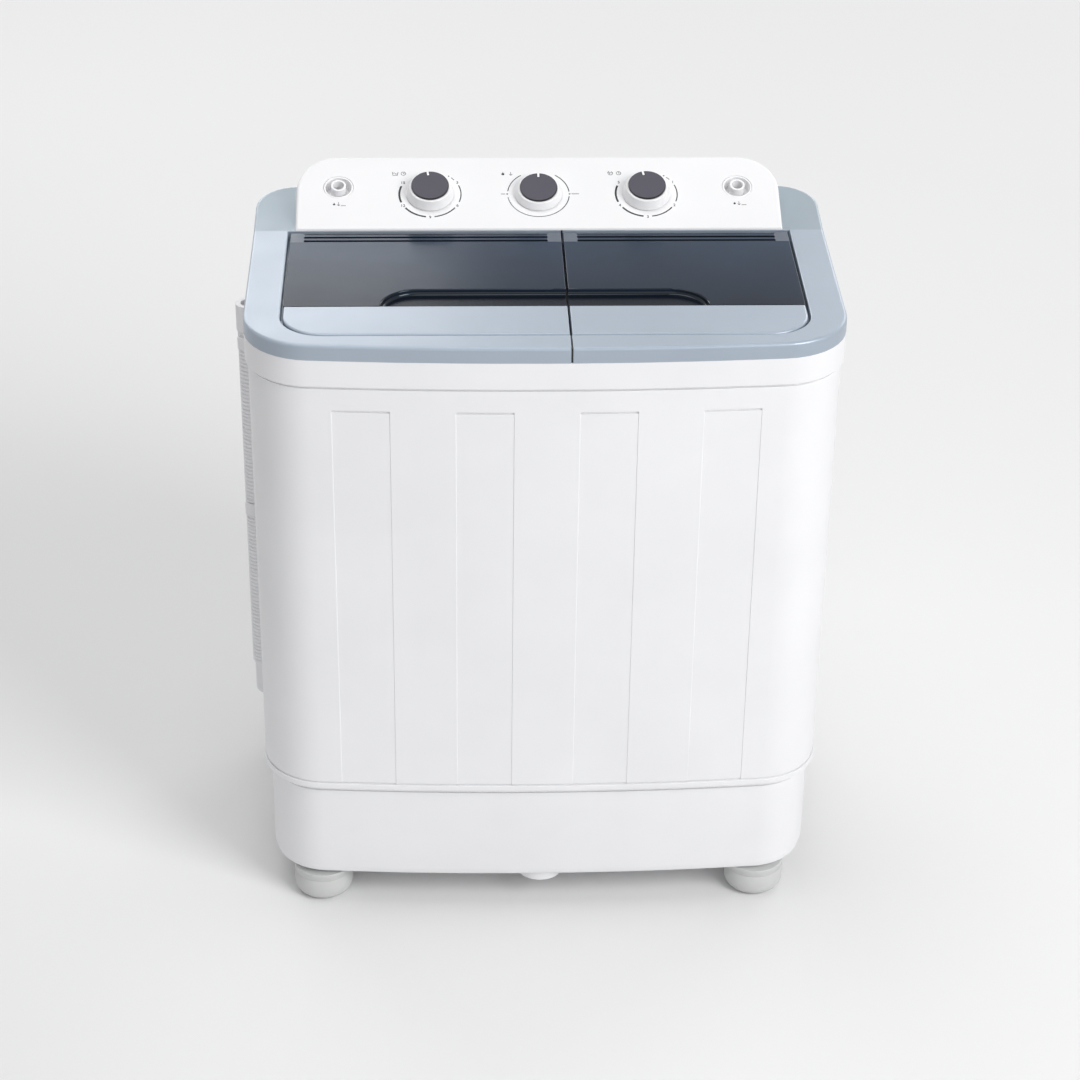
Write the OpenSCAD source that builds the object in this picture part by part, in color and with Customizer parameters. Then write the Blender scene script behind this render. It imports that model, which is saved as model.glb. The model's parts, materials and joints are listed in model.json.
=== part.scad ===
// Top-loading twin-tub washing machine: wash tub on the left, spin tub on the right.
// Origin: floor level, middle of the footprint. +X right, -Y front, +Z up. Millimetres.

/* [Cabinet] */
// Width over the top frame
frame_w = 580; // [570:1:620]
// Depth over the top frame
frame_d = 360; // [355:1:400]
// Height of the top frame's flat above the floor
worktop_z = 665; // [650:1:700]
// Height of the top frame's outer edge
frame_edge_h = 16; // [15:0.5:20]
// How far the front bulges forward in the middle
front_bow = 14; // [4:1:18]
// Radius of the front corners, seen from above
front_corner_r = 68; // [50:1:75]
// Radius of the rear corners, seen from above
rear_corner_r = 42; // [30:1:50]
// Wall of the moulded shells
wall = 3; // [2.5:0.1:3.5]
// Step in from the top frame to the cabinet's wall
cabinet_inset = 3; // [2:0.5:4]
// Height of the plain band under the top frame
band_h = 28; // [20:1:40]
// Height of the cabinet's bottom edge above the floor
cabinet_z0 = 155; // [149:1:163]
// Height of the lip at the cabinet's bottom edge
lip_h = 6; // [4:0.5:8]
// How far that lip stands out
lip_out = 1.5; // [0.5:0.5:2]

/* [Front panels] */
// Number of sunk panels on the front
panel_count = 4; // [3:1:4]
// Distance from one sunk panel to the next
panel_pitch = 118.4; // [100:0.1:122]
// Width of a sunk panel
panel_w = 55.6; // [40:0.1:70]
// Depth of a sunk panel
panel_depth = 1.2; // [0.8:0.1:1.6]
// Distance from the band down to a sunk panel
panel_top_gap = 26; // [15:1:60]

/* [Base and feet] */
// Step in from the top frame to the base's skirt
base_inset = 9; // [7:0.5:11]
// Height of the bevel round the base's bottom edge
base_bevel = 16; // [10:1:20]
// Thickness of the base's floor
base_floor_t = 4; // [3:0.5:5]
// Height of the rim that locates the cabinet
base_rim_h = 12; // [8:1:16]
// Radius of a foot
foot_r = 31; // [26:1:34]
// Height of a foot
foot_h = 35; // [30:1:40]
// Rounding of a foot's bottom edge
foot_round = 12; // [6:1:14]
// Distance from the frame's side to a foot's axis
foot_inset_x = 61; // [56:1:80]
// Distance from the frame's front or back to a foot's axis
foot_inset_y = 50; // [46:1:60]
// Radius of the boss under the base
base_boss_r = 25; // [15:1:30]
// Height of that boss
base_boss_h = 7; // [4:1:10]

/* [Top frame and lids] */
// Distance from the frame's right side to the seam between the two sides
seam_inset = 267.6; // [264:0.1:269]
// Gap at the seam
seam_gap = 0.6; // [0.4:0.1:1]
// Margin of the frame beside the lids
lid_margin_side = 38; // [34:1:44]
// Margin of the frame in front of the lids
lid_margin_front = 31; // [28:1:36]
// Distance from the frame's back to the console's front edge
console_run = 95; // [90:1:100]
// Gap between lids and frame
lid_gap = 2.5; // [1.5:0.5:3]
// Gap between lids and console
lid_rear_gap = 6; // [6:0.5:7]
// Thickness of a lid
lid_t = 10; // [9:0.5:12]
// Wall of a lid
lid_wall = 2.5; // [2:0.1:3]
// Radius of a lid's outer front corner
lid_corner_r = 40; // [20:1:50]
// Depth of the handle strip along a lid's front
strip_d = 60; // [45:1:70]
// Gap under a closed lid
lid_seat_gap = 0.6; // [0.4:0.1:1]
// Thickness of the ledge that the lids close on
ledge_t = 3; // [2.5:0.5:4]
// Length of the finger hollow across both lids
hollow_w = 318; // [260:1:340]
// Depth of the finger hollow, front to back
hollow_run = 37; // [30:1:45]
// How far the finger hollow is sunk
hollow_sink = 6; // [5:0.5:6.5]
// Radius of a lid's hinge pin
hinge_pin_r = 1.6; // [1.4:0.1:1.8]
// Distance from the lid's back edge to its hinge axis
hinge_back = 2.5; // [2:0.1:2.5]
// Distance from the lid's top down to its hinge axis
hinge_drop = 6.5; // [6.3:0.1:6.6]
// Width of a hinge lug
lug_w = 6; // [4:0.5:8]
// Distance from a lid's end to its nearest hinge lug
lug_inset = 24; // [16:1:40]
// Running gap on a pin or shaft
run_gap = 0.05; // [0.03:0.01:0.08]

/* [Console] */
// Width of the console
console_w = 496; // [480:1:500]
// Slope of the console's panel in degrees
console_slope = 22.7; // [18:0.1:26]
// Height of the console's front edge over the frame
console_lift = 2; // [1:0.5:4]
// Depth of the flat ridge behind the panel
console_ridge = 7; // [5:0.5:10]
// Radius of the console's rear corners, seen from above
console_corner_r = 42; // [30:1:50]
// Wall of the console
console_wall = 2.5; // [2:0.1:3]
// How far the frame rises towards the back beside the console
shoulder_rise = 8; // [4:1:10]

/* [Knobs] */
// Distance from one knob to the next
knob_pitch = 111; // [90:1:120]
// Distance up the panel from its front edge to the knobs
knob_up = 48; // [44:1:52]
// Radius of a knob's skirt
knob_skirt_r = 24.5; // [22:0.5:26]
// Radius of a knob's dark cap
knob_cap_r = 19; // [15:0.5:20]
// Height of a timer knob
timer_knob_h = 14; // [12:0.5:18]
// Height of the selector knob
selector_knob_h = 11; // [10:0.5:14]
// Thickness of a knob's cap
knob_cap_t = 2.5; // [2:0.1:3]
// Gap between a knob and the panel
knob_gap = 1; // [0.5:0.1:2]
// Radius of a timer's shaft
timer_shaft_r = 3; // [2.5:0.1:3.5]
// Side of a timer's case
timer_side = 46; // [36:1:50]
// Depth of a timer's case
timer_depth = 30; // [20:1:32]
// Side of the selector's case
selector_side = 36; // [30:1:46]
// Depth of the selector's case
selector_depth = 18; // [14:1:30]

/* [Water inlets] */
// Distance of each inlet from the middle
inlet_x = 205; // [198:1:210]
// Distance up the panel from its front edge to the inlets
inlet_up = 58; // [50:1:62]
// Radius of an inlet's cup
inlet_cup_r = 15.5; // [13:0.5:18]
// Depth of an inlet's cup
inlet_cup_depth = 14; // [10:1:18]
// Radius of an inlet's spigot
inlet_spigot_r = 7.8; // [7:0.1:9]
// Bore of an inlet's spigot
inlet_bore_r = 5.5; // [4:0.1:6]
// How far the spigot stands above the panel
inlet_proud = 3; // [1:0.5:5]
// Length of an inlet's pipe below its cup
inlet_pipe_l = 16; // [10:1:18]

/* [Wash tub] */
// Wall of both tubs
tub_wall = 2.5; // [2:0.1:3]
// Height of the wash tub's floor above the floor of the room
wash_floor_z = 203; // [199:1:209]
// Distance from the frame's side to the wash tub
tub_inset_x = 20; // [18:1:24]
// Gap from the wash tub to the seam
tub_seam_gap = 4.4; // [3:0.1:6]
// Distance from the frame's front to the wash tub
tub_inset_front = 25; // [24:1:30]
// Distance from the frame's back to the wash tub
tub_inset_back = 30; // [26:1:36]
// Radius of the wash tub's corners
tub_corner_r = 32; // [26:1:45]
// Margin from the lid recess to the mouth of a tub
mouth_margin = 9; // [8:0.5:14]
// Depth of the collar round a tub's mouth
collar_h = 8; // [5:1:12]
// Radius of the pulsator
pulsator_r = 105; // [90:1:115]
// Height of the pulsator's rim
pulsator_rim_h = 8; // [6:0.5:12]
// Number of pulsator vanes
vane_count = 6; // [4:1:8]
// Radius of the pulsator's shaft
pulsator_shaft_r = 8; // [6:0.5:9]

/* [Wash drive] */
// Outer radius of the big pulley
pulley_r = 75; // [68:1:78]
// Outer radius of the motor's pulley
motor_pulley_r = 18; // [16:0.5:20]
// Depth of a pulley's groove
groove_depth = 6.5; // [6:0.1:7]
// Height of a pulley
pulley_h = 14; // [13:0.5:16]
// Width of the belt
belt_w = 8; // [6:0.5:9]
// Thickness of the belt
belt_t = 5.5; // [5:0.1:6]
// Gap between the belt and a groove
belt_gap = 0.4; // [0.3:0.1:0.5]
// Radius of the wash motor
wash_motor_r = 50; // [44:1:51]
// Height of the wash motor
wash_motor_h = 76; // [60:1:78]
// Distance from the frame's side to the wash motor's axis
wash_motor_inset = 78; // [76:1:84]
// Distance from the frame's front to the wash motor's axis
wash_motor_back = 82; // [80:1:88]
// Radius of the rotor inside each motor
rotor_r = 28; // [20:1:32]

/* [Lint filter and drain] */
// Width of the lint filter
filter_w = 76; // [60:1:90]
// Height of the lint filter
filter_h = 130; // [100:1:150]
// Thickness of the lint filter
filter_t = 8; // [6:0.5:10]
// Height of the filter's foot above the wash tub's floor
filter_up = 220; // [180:1:240]
// Travel of the lint filter
filter_travel = 70; // [40:1:70]
// Radius of the drain valve's case
valve_r = 22; // [20:0.5:23]
// Height of the drain valve's case
valve_h = 76; // [70:1:84]
// Travel of the drain valve's plunger
valve_travel = 12; // [8:1:16]
// Radius of the drain pipes
pipe_r = 11; // [9:0.5:12]
// Wall of the drain pipes
pipe_wall = 2; // [1.5:0.1:2.5]
// Height of the drain outlet above the floor
drain_z = 85; // [81:1:91]

/* [Spin tub] */
// Distance from the frame's side to the spin axis
spin_axis_inset = 150; // [146:1:152]
// Distance of the spin axis in front of the middle
spin_axis_front = 33; // [30:1:38]
// Outer radius of the spin tub
spin_tub_r = 114; // [110:0.5:115]
// Height of the spin tub's floor above the floor of the room
spin_floor_z = 218; // [215:1:223]
// Outer radius of the spin basket
basket_r = 100; // [94:0.5:102]
// Gap under the spin basket
basket_gap = 14; // [12:1:20]
// Height of the spin basket
basket_h = 375; // [340:1:390]
// Wall of the spin basket
basket_wall = 2; // [1.5:0.1:2.5]
// Radius of a hole in the basket
basket_hole_r = 3.5; // [2.5:0.1:4]
// Holes round the basket
basket_columns = 10; // [6:1:12]
// Rows of holes
basket_rows = 5; // [3:1:6]
// Radius of the mouth over the spin basket
spin_mouth_r = 94; // [90:0.5:96]
// Radius of the spin shaft
spin_shaft_r = 7; // [6:0.5:8]

/* [Spin drive] */
// Radius of the spin motor
spin_motor_r = 55; // [48:1:57]
// Height of the spin motor
spin_motor_h = 91; // [70:1:93]
// Radius of the spin motor's mounting plate
motor_plate_r = 76; // [74:1:78]
// Thickness of that plate
motor_plate_t = 4; // [3:0.5:5]
// Height of the spring mounts under it
mount_h = 36; // [30:1:38]
// Radius of a spring mount
mount_r = 10; // [8:0.5:11]
// Radius of the brake drum
drum_r = 45; // [40:1:46]
// Height of the brake drum
drum_h = 16; // [12:1:18]
// Gap between the brake pad and the drum
brake_gap = 3; // [2.9:0.1:4]
// Distance from the spin axis to the brake's post
brake_post_run = 70; // [69:0.5:71]
// Radius of the brake's post
brake_post_r = 4; // [3:0.5:5]

/* [Drain hose] */
// Radius of the hose
hose_r = 12.5; // [11:0.5:13]
// Thickness of a hose clip
clip_t = 2; // [1.5:0.1:2.5]
// Height of a hose clip
clip_h = 14; // [8:1:18]
// Length of the cuff on the hose's open end
cuff_l = 30; // [20:1:40]
// Bore of that cuff
cuff_bore_r = 8; // [6:0.5:9]

/* [Back cover] */
// Width of the back cover
cover_w = 400; // [300:1:420]
// Height of the back cover
cover_h = 270; // [200:1:300]
// Thickness of the back cover
cover_t = 2; // [1.5:0.1:2]
// Overlap of the back cover on the cabinet
cover_lap = 14; // [10:1:20]
// Number of slots in the back cover
slot_count = 9; // [5:1:10]
// Radius of a screw's head
screw_head_r = 4; // [3:0.1:5]
// Radius of a screw's shank
screw_r = 1.8; // [1.5:0.1:2]
// Bore of the gland for the mains cord
gland_bore_r = 4; // [3:0.1:5]
// Distance from the frame's side to that gland
gland_inset = 90; // [60:1:120]
// Height of the gland above the base's bottom
gland_up = 45; // [35:1:60]

/* [Hidden] */
$fn = 48;

eps = 0.5;                      // overshoot of a cutter beyond the face that it cuts
touch = 0.3;                    // gap between curved faces of separate pieces
front_y = -frame_d / 2;
back_y = frame_d / 2;
frame_z0 = worktop_z - frame_edge_h;
band_z0 = frame_z0 - band_h;
cabinet_in = cabinet_inset + wall;

panel_z1 = band_z0 - panel_top_gap;
panel_z0 = cabinet_z0 + lip_h;

base_z0 = foot_h;
base_floor_z = base_z0 + base_floor_t;
base_rim_in = cabinet_in + touch;
base_flange_in = cabinet_inset + wall / 2;
foot_x = frame_w / 2 - foot_inset_x;
foot_y = frame_d / 2 - foot_inset_y;
base_boss_y = front_y + base_inset + base_boss_r + base_bevel / 2;

console_y0 = back_y - console_run;
seam_x = frame_w / 2 - seam_inset;
lid_x0 = -frame_w / 2 + lid_margin_side;
lid_x1 = frame_w / 2 - lid_margin_side;
lid_y0 = front_y + lid_margin_front;
lid_y1 = console_y0 - lid_rear_gap;
lid_z0 = worktop_z - lid_t;
ledge_z1 = lid_z0 - lid_seat_gap;
ledge_z0 = ledge_z1 - ledge_t;
strip_y1 = lid_y0 + strip_d;
hinge_y = lid_y1 - hinge_back;
hinge_z = worktop_z - hinge_drop;
lug_gap = 0.4;                  // side gap between a lug and its lid's ear
knuckle_r = hinge_pin_r + 1.9;
lid_seam_gap = 2;               // gap between the two lids
hollow_z = worktop_z - hollow_sink;
hollow_wall = 1.6;
groove_count = 3;
lid_groove_w = 4;
lid_groove_pitch = 8.5;
lid_groove_depth = 1;
lid_groove_inset = 14;

console_z0 = worktop_z + console_lift;
console_panel_run = console_run - console_ridge;
console_z1 = console_z0 + console_panel_run * tan(console_slope);
console_seat = 10;              // width of the frame's ledge that the console stands on
console_back_gap = 1;           // step in from the frame's back to the console's

knob_hub_r = timer_shaft_r + 3;
pointer_w = 2.4;
pointer_l = 5;
bushing_r = timer_shaft_r + 2.5;
panel_hole_r = bushing_r + touch;
shaft_top = 6;                  // how far a timer's shaft reaches above the panel
shaft_bottom = 12;              // how far it reaches into the timer

tub_x0 = -frame_w / 2 + tub_inset_x;
tub_x1 = seam_x - tub_seam_gap;
tub_y0 = front_y + tub_inset_front;
tub_y1 = back_y - tub_inset_back;
tub_cx = (tub_x0 + tub_x1) / 2;
tub_cy = (tub_y0 + tub_y1) / 2;
tub_top_z = ledge_z0;
rim_w = 6;
rim_t = 3;
mouth_x0 = lid_x0 + mouth_margin;
mouth_x1 = tub_x1 - tub_wall - wall - 1;
mouth_y0 = lid_y0 + mouth_margin;
mouth_y1 = hinge_y - knuckle_r - mouth_margin / 2;
mouth_r = tub_corner_r - 10;

pulsator_z0 = wash_floor_z + tub_wall + 2;
pulsator_hub_r = 26;
pulsator_hub_h = 22;
vane_w = 12;
vane_h = 7;
vane_gap = 14;                  // from a vane's end to the pulsator's rim
screw_seat = 4;                 // depth of the seat for the pulsator's screw
screw_seat_r = 10;
shaft_end_z = pulsator_z0 + 12;
bearing_r = 38;
bearing_h = 42;
bearing_flange_r = 56;
bearing_flange_t = 4;
bearing_z0 = wash_floor_z - 1 - bearing_h;
pulley_z0 = bearing_z0 - 1 - pulley_h;
groove_h = belt_w + 2 * belt_gap;
belt_z0 = pulley_z0 + (pulley_h - belt_w) / 2;
motor_shaft_r = 5;
wash_motor_x = -frame_w / 2 + wash_motor_inset;
wash_motor_y = front_y + wash_motor_back;
wash_motor_z0 = base_floor_z;
rotor_gap = 0.6;                // from a rotor to the motor round it
motor_end_t = 12;               // thickness of a motor above and below its rotor

filter_z0 = wash_floor_z + filter_up;
filter_x = tub_cx;
filter_gap = 0.5;
guide_wall = 3;
guide_lap = 6;                  // how far the guide reaches over the filter's edges
filter_grip_h = 8;              // how far the filter stands above its guide
filter_bar = 5;
overflow_w = 44;
overflow_t = 12;
overflow_wall = 2;
overflow_z1 = tub_top_z - 70;
overflow_y1 = tub_y1 - tub_corner_r - 4;

spin_x = frame_w / 2 - spin_axis_inset;
spin_y = -spin_axis_front;
basket_z0 = spin_floor_z + tub_wall + basket_gap;
basket_floor_t = 4;
basket_lip_r = basket_r - 8;
basket_lip_t = 4;
basket_hub_r = 18;
basket_hub_h = 12;
basket_boss_h = 6;              // boss under the basket's floor
basket_hole_margin = 45;        // from the basket's ends to its outer rows of holes
press_hole_r = 12;
press_cap_r = basket_lip_r - 4;
press_cap_t = 4;
press_cap_z0 = basket_z0 + basket_hub_h + touch;

motor_plate_z0 = base_floor_z + mount_h;
spin_motor_z0 = motor_plate_z0 + motor_plate_t;
spin_motor_z1 = spin_motor_z0 + spin_motor_h;
spin_shaft_z1 = basket_z0 + basket_hub_h - 4;
drum_z0 = spin_motor_z1 + 8;
drum_wall = 5;
lever_gap = 2;                  // from the drum's ends to the brake lever
post_wall = 4;                  // wall of the lever's eye round its post
mount_run = motor_plate_r - mount_r - 3;
mount_rings = 5;
mount_ring_r = 1.8;
pad_t = 8;
pad_a0 = -80;
pad_a1 = -50;
seal_r = 22;
seal_h = 16;
seal_neck_r = 16;
seal_flange_t = 3;

valve_x = seam_x + valve_r - 2;
valve_y = back_y - tub_inset_back - valve_r + 2;
valve_z0 = drain_z - pipe_r - 3;
valve_z1 = valve_z0 + valve_h;
valve_wall = 2.5;
valve_seat_z = drain_z + pipe_r + 4;
plunger_r = 15;
plunger_t = 6;
rod_r = 2.5;
rod_top_z = worktop_z - 20;
wash_drain_x = tub_x1 - 34;
wash_drain_z = valve_z1 - pipe_r - 8;
small_pipe_r = pipe_r - 2;
small_bore_r = small_pipe_r - pipe_wall;
pipe_sink = 4;                  // how far a pipe's end is rounded into the valve's case
spin_drain_x = valve_x + 6;
spin_drain_y = spin_y + 42;

hose_x = -frame_w / 2 + cabinet_inset - lip_out - hose_r - 1;
hose_y = valve_y;
spigot_r = hose_r - 2.5;
// Route of the drain hose, from its outlet's spigot up to its cuff
HOSE_PATH = [[-302, 130, 119], [-302, 130, 170], [-302, 130, 230], [-302, 130, 290],
    [-302, 130, 350], [-302, 130, 410], [-302, 130, 470], [-302, 130, 533]];
hose_sides = 12;
hose_z0 = HOSE_PATH[0][2];
hose_z1 = HOSE_PATH[len(HOSE_PATH) - 1][2];
clip_zs = [313, 513];
clip_ear = 8;                   // how far a clip's foot reaches beside the hose

cover_up = 40;                  // from the cabinet's bottom edge to the cover
cover_z0 = cabinet_z0 + cover_up;
slot_margin = 40;               // from the cover's ends to its slots
slot_w = cover_w / 2;
slot_h = 8;
cover_y = back_y - cabinet_inset;
gland_x = frame_w / 2 - gland_inset;
gland_z = base_z0 + gland_up;
gland_wall = 3;
gland_proud = base_inset - 1;   // how far the gland stands out of the base
screw_head_t = cabinet_inset - cover_t;
screw_l = 10;

// Points along an arc, from angle a0 to a1 in degrees
function arc(cx, cy, r, a0, a1, n) =
    [for (i = [0:n]) let (a = a0 + (a1 - a0) * i / n) [cx + r * cos(a), cy + r * sin(a)]];

// How far the bowed front lies behind its foremost line at x
function bow(x) = front_bow * pow(2 * x / frame_w, 2);

// Outline of the machine seen from above, drawn in by an inset
function plan(inset) =
    let (hw = frame_w / 2 - inset, rf = front_corner_r - inset, rb = rear_corner_r - inset,
        cx = hw - rf, tilt = atan(4 * bow(cx) / (2 * cx)), tx = cx + rf * sin(tilt),
        cy = front_y + inset + bow(tx) + rf * cos(tilt), yb = back_y - inset)
    concat(
        [for (i = [-8:8]) let (x = tx * i / 8) [x, front_y + inset + bow(x)]],
        [for (i = [1:10]) let (a = -90 + tilt + (90 - tilt) * i / 10)
            [cx + rf * cos(a), cy + rf * sin(a)]],
        arc(hw - rb, yb - rb, rb, 0, 90, 8),
        arc(-hw + rb, yb - rb, rb, 90, 180, 8),
        [for (i = [0:9]) let (a = 180 + (90 - tilt) * i / 10)
            [-cx + rf * cos(a), cy + rf * sin(a)]]);

// Rectangle with round corners
function rounded(x0, x1, y0, y1, r) = concat(
    arc(x1 - r, y0 + r, r, -90, 0, 8), arc(x1 - r, y1 - r, r, 0, 90, 8),
    arc(x0 + r, y1 - r, r, 90, 180, 8), arc(x0 + r, y0 + r, r, 180, 270, 8));

// Outline of a belt that runs round two pulleys
function belt_outline(ax, ay, ar, bx, by, br) =
    let (d = sqrt(pow(bx - ax, 2) + pow(by - ay, 2)), dir = atan2(by - ay, bx - ax),
        lean = acos((ar - br) / d))
    concat(arc(ax, ay, ar, dir + lean, dir + 360 - lean, 40),
        arc(bx, by, br, dir - lean, dir + lean, 16));

// Outline of the console seen from above, drawn in by an inset
function console_outline(inset) =
    let (x1 = console_w / 2 - inset, y0 = console_y0 + inset,
        y1 = back_y - console_back_gap - inset, r = console_corner_r - inset)
    concat([[-x1, y0], [x1, y0]], arc(x1 - r, y1 - r, r, 0, 90, 12),
        arc(-x1 + r, y1 - r, r, 90, 180, 12));

module slab(inset, z0, z1) {
    translate([0, 0, z0]) linear_extrude(z1 - z0) polygon(plan(inset));
}

module block(x0, x1, y0, y1, z0, z1) {
    translate([x0, y0, z0]) cube([x1 - x0, y1 - y0, z1 - z0]);
}

module plate(points, z0, z1) {
    translate([0, 0, z0]) linear_extrude(z1 - z0) polygon(points);
}

module disc(x, y, r, z0, z1) {
    translate([x, y, z0]) cylinder(r = r, h = z1 - z0);
}

// Cylinder along X from x0 to x1
module rod_x(x0, x1, y, z, r) {
    translate([x0, y, z]) rotate([0, 90, 0]) cylinder(r = r, h = x1 - x0);
}

// Cylinder along Y from y0 to y1
module rod_y(x, y0, y1, z, r) {
    translate([x, y0, z]) rotate([-90, 0, 0]) cylinder(r = r, h = y1 - y0);
}

// Side profile, as [y, z] points, drawn out from x0 to x1
module profile_x(points, x0, x1) {
    translate([x0, 0, 0]) rotate([90, 0, 90]) linear_extrude(x1 - x0) polygon(points);
}

// Puts its children on the console's panel, with +Z out of the panel
module on_panel(x, up) {
    translate([x, console_y0 + up * cos(console_slope), console_z0 + up * sin(console_slope)])
        rotate([console_slope, 0, 0]) children();
}

// ---- Cabinet, base and feet ----

module panel_cutters() {
    first = -(panel_count - 1) / 2;
    intersection() {
        for (i = [0:panel_count - 1])
            translate([(first + i) * panel_pitch - panel_w / 2, front_y - eps, panel_z0])
                cube([panel_w, front_corner_r, panel_z1 - panel_z0]);
        difference() {
            slab(cabinet_inset - lip_out - eps, panel_z0 - eps, panel_z1 + eps);
            slab(cabinet_inset + panel_depth, panel_z0 - 2 * eps, panel_z1 + 2 * eps);
        }
    }
}

module cabinet() {
    color("whitesmoke") difference() {
        union() {
            slab(cabinet_inset, cabinet_z0, frame_z0);
            slab(0, band_z0, frame_z0);
            slab(cabinet_inset - lip_out, cabinet_z0, cabinet_z0 + lip_h);
        }
        slab(cabinet_in, cabinet_z0 - eps, frame_z0 + eps);
        slab(wall, band_z0 + wall, frame_z0 + eps);
        panel_cutters();
        block(-cover_w / 2 + cover_lap, cover_w / 2 - cover_lap, back_y - cabinet_in - eps,
            back_y + eps, cover_z0 + cover_lap, cover_z0 + cover_h - cover_lap);
        for (at = cover_screw_places())
            rod_y(at[0], cover_y - wall - eps, cover_y + eps, at[1], screw_r + touch);
    }
}

module base() {
    color("whitesmoke") {
        difference() {
            union() {
                hull() {
                    slab(base_inset + base_bevel * 0.7, base_z0, base_z0 + 1);
                    slab(base_inset + base_bevel * 0.15, base_z0 + base_bevel * 0.45,
                        base_z0 + base_bevel * 0.45 + 1);
                    slab(base_inset, base_z0 + base_bevel, base_z0 + base_bevel + 1);
                }
                slab(base_inset, base_z0 + base_bevel, cabinet_z0);
                slab(base_flange_in, cabinet_z0 - wall, cabinet_z0);
                slab(base_rim_in, cabinet_z0 - wall, cabinet_z0 + base_rim_h);
                disc(0, base_boss_y, base_boss_r, base_z0 - base_boss_h, base_z0 + wall);
            }
            slab(base_inset + base_bevel * 0.7 + wall, base_floor_z, base_z0 + base_bevel);
            slab(base_inset + wall, base_z0 + base_bevel, cabinet_z0 + base_rim_h + eps);
            rod_x(-frame_w / 2, -frame_w / 2 + base_inset + wall + eps, hose_y, drain_z,
                pipe_r + touch);
            rod_y(gland_x, back_y - base_inset - wall - eps, back_y, gland_z,
                gland_bore_r + gland_wall + touch);
        }
    }
}

module foot(sx, sy) {
    color("whitesmoke") translate([sx * foot_x, sy * foot_y, 0]) rotate_extrude()
        polygon(concat([[0, 0], [foot_r - foot_round, 0]],
            arc(foot_r - foot_round, foot_round, foot_round, -90, 0, 8),
            [[foot_r, foot_h], [0, foot_h]]));
}

// ---- Top frame ----

// Space that the closed lids lie in, drawn out by grow
module lid_recess(grow, z0) {
    x0 = lid_x0 - lid_gap - grow;
    x1 = lid_x1 + lid_gap + grow;
    y0 = lid_y0 - lid_gap - grow;
    r = lid_corner_r + lid_gap + grow;
    plate(concat(arc(x1 - r, y0 + r, r, -90, 0, 12),
        [[x1, console_y0 + grow], [x0, console_y0 + grow]],
        arc(x0 + r, y0 + r, r, 180, 270, 12)), z0, worktop_z + shoulder_rise + eps);
}

// The frame's outer shape, flat in front and rising to the back beside the console
module frame_block(inset, drop) {
    intersection() {
        slab(inset, frame_z0 - inset, worktop_z + shoulder_rise + eps);
        profile_x([[front_y, frame_z0 - inset], [front_y, worktop_z - drop],
            [console_y0, worktop_z - drop], [back_y, worktop_z + shoulder_rise - drop],
            [back_y, frame_z0 - inset]], -frame_w / 2, frame_w / 2);
    }
}

// One side of the top frame, from x0 to x1. Its child is the mouth over the tub
module top_frame(x0, x1) {
    intersection() {
        difference() {
            union() {
                difference() {
                    frame_block(0, 0);
                    frame_block(wall, wall);
                }
                intersection() {
                    lid_recess(wall, ledge_z0);
                    frame_block(0, 0);
                }
            }
            lid_recess(0, ledge_z1);
            children(0);
            plate(console_outline(console_seat), frame_z0, worktop_z + shoulder_rise + eps);
        }
        block(x0, x1, front_y - eps, back_y + eps, frame_z0 - eps, console_z1);
    }
}

module wash_mouth(grow, z0, z1) {
    plate(rounded(mouth_x0 - grow, mouth_x1 + grow, mouth_y0 - grow, mouth_y1 + grow,
        mouth_r + grow), z0, z1);
}

function hinge_places(x0, x1) = [x0 + lug_inset, x1 - lug_inset];

// Lugs that carry a lid's hinge pins, one each side of each ear
module hinge_lugs(x0, x1) {
    for (x = hinge_places(x0, x1))
        for (side = [-1, 1])
            translate([x + side * (lug_w + lug_gap) - lug_w / 2, 0, 0]) difference() {
                union() {
                    rod_x(0, lug_w, hinge_y, hinge_z, knuckle_r);
                    block(0, lug_w, hinge_y - knuckle_r * 0.7, hinge_y + knuckle_r * 0.7,
                        ledge_z1 - ledge_t / 2, hinge_z);
                }
                rod_x(-eps, lug_w + eps, hinge_y, hinge_z, hinge_pin_r + run_gap);
            }
}

// Ring left when the second child is cut out of the first
module ring_cut() {
    difference() {
        children(0);
        children(1);
    }
}

module wash_top_frame() {
    color("lightsteelblue") union() {
        top_frame(-frame_w / 2 - eps, seam_x - seam_gap / 2)
            wash_mouth(0, ledge_z0 - eps, worktop_z);
        ring_cut() {
            wash_mouth(wall, ledge_z0 - collar_h, ledge_z0 + ledge_t / 2);
            wash_mouth(0, ledge_z0 - collar_h - eps, worktop_z);
        }
        hinge_lugs(lid_x0, seam_x);
    }
}

module spin_top_frame() {
    color("lightsteelblue") union() {
        top_frame(seam_x + seam_gap / 2, frame_w / 2 + eps)
            disc(spin_x, spin_y, spin_mouth_r, ledge_z0 - eps, worktop_z);
        ring_cut() {
            disc(spin_x, spin_y, spin_mouth_r + wall, ledge_z0 - collar_h,
                ledge_z0 + ledge_t / 2);
            disc(spin_x, spin_y, spin_mouth_r, ledge_z0 - collar_h - eps, worktop_z);
        }
        hinge_lugs(seam_x, lid_x1);
    }
}

// ---- Lids ----

module lid_hinge_pins() {
    reach = 1.5 * lug_w + lug_gap;
    color("silver")
        for (x = concat(hinge_places(lid_x0, seam_x), hinge_places(seam_x, lid_x1)))
            rod_x(x - reach, x + reach, hinge_y, hinge_z, hinge_pin_r);
}

// Finger hollow that runs across both lids behind their strips
module finger_hollow(grow, z0, z1) {
    half = hollow_w / 2 + grow;
    r = hollow_run + grow;
    plate(concat([[-half, strip_y1 - eps], [half, strip_y1 - eps]],
        arc(half - r, strip_y1, r, 0, 90, 12), arc(-half + r, strip_y1, r, 90, 180, 12)),
        z0, z1);
}

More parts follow.
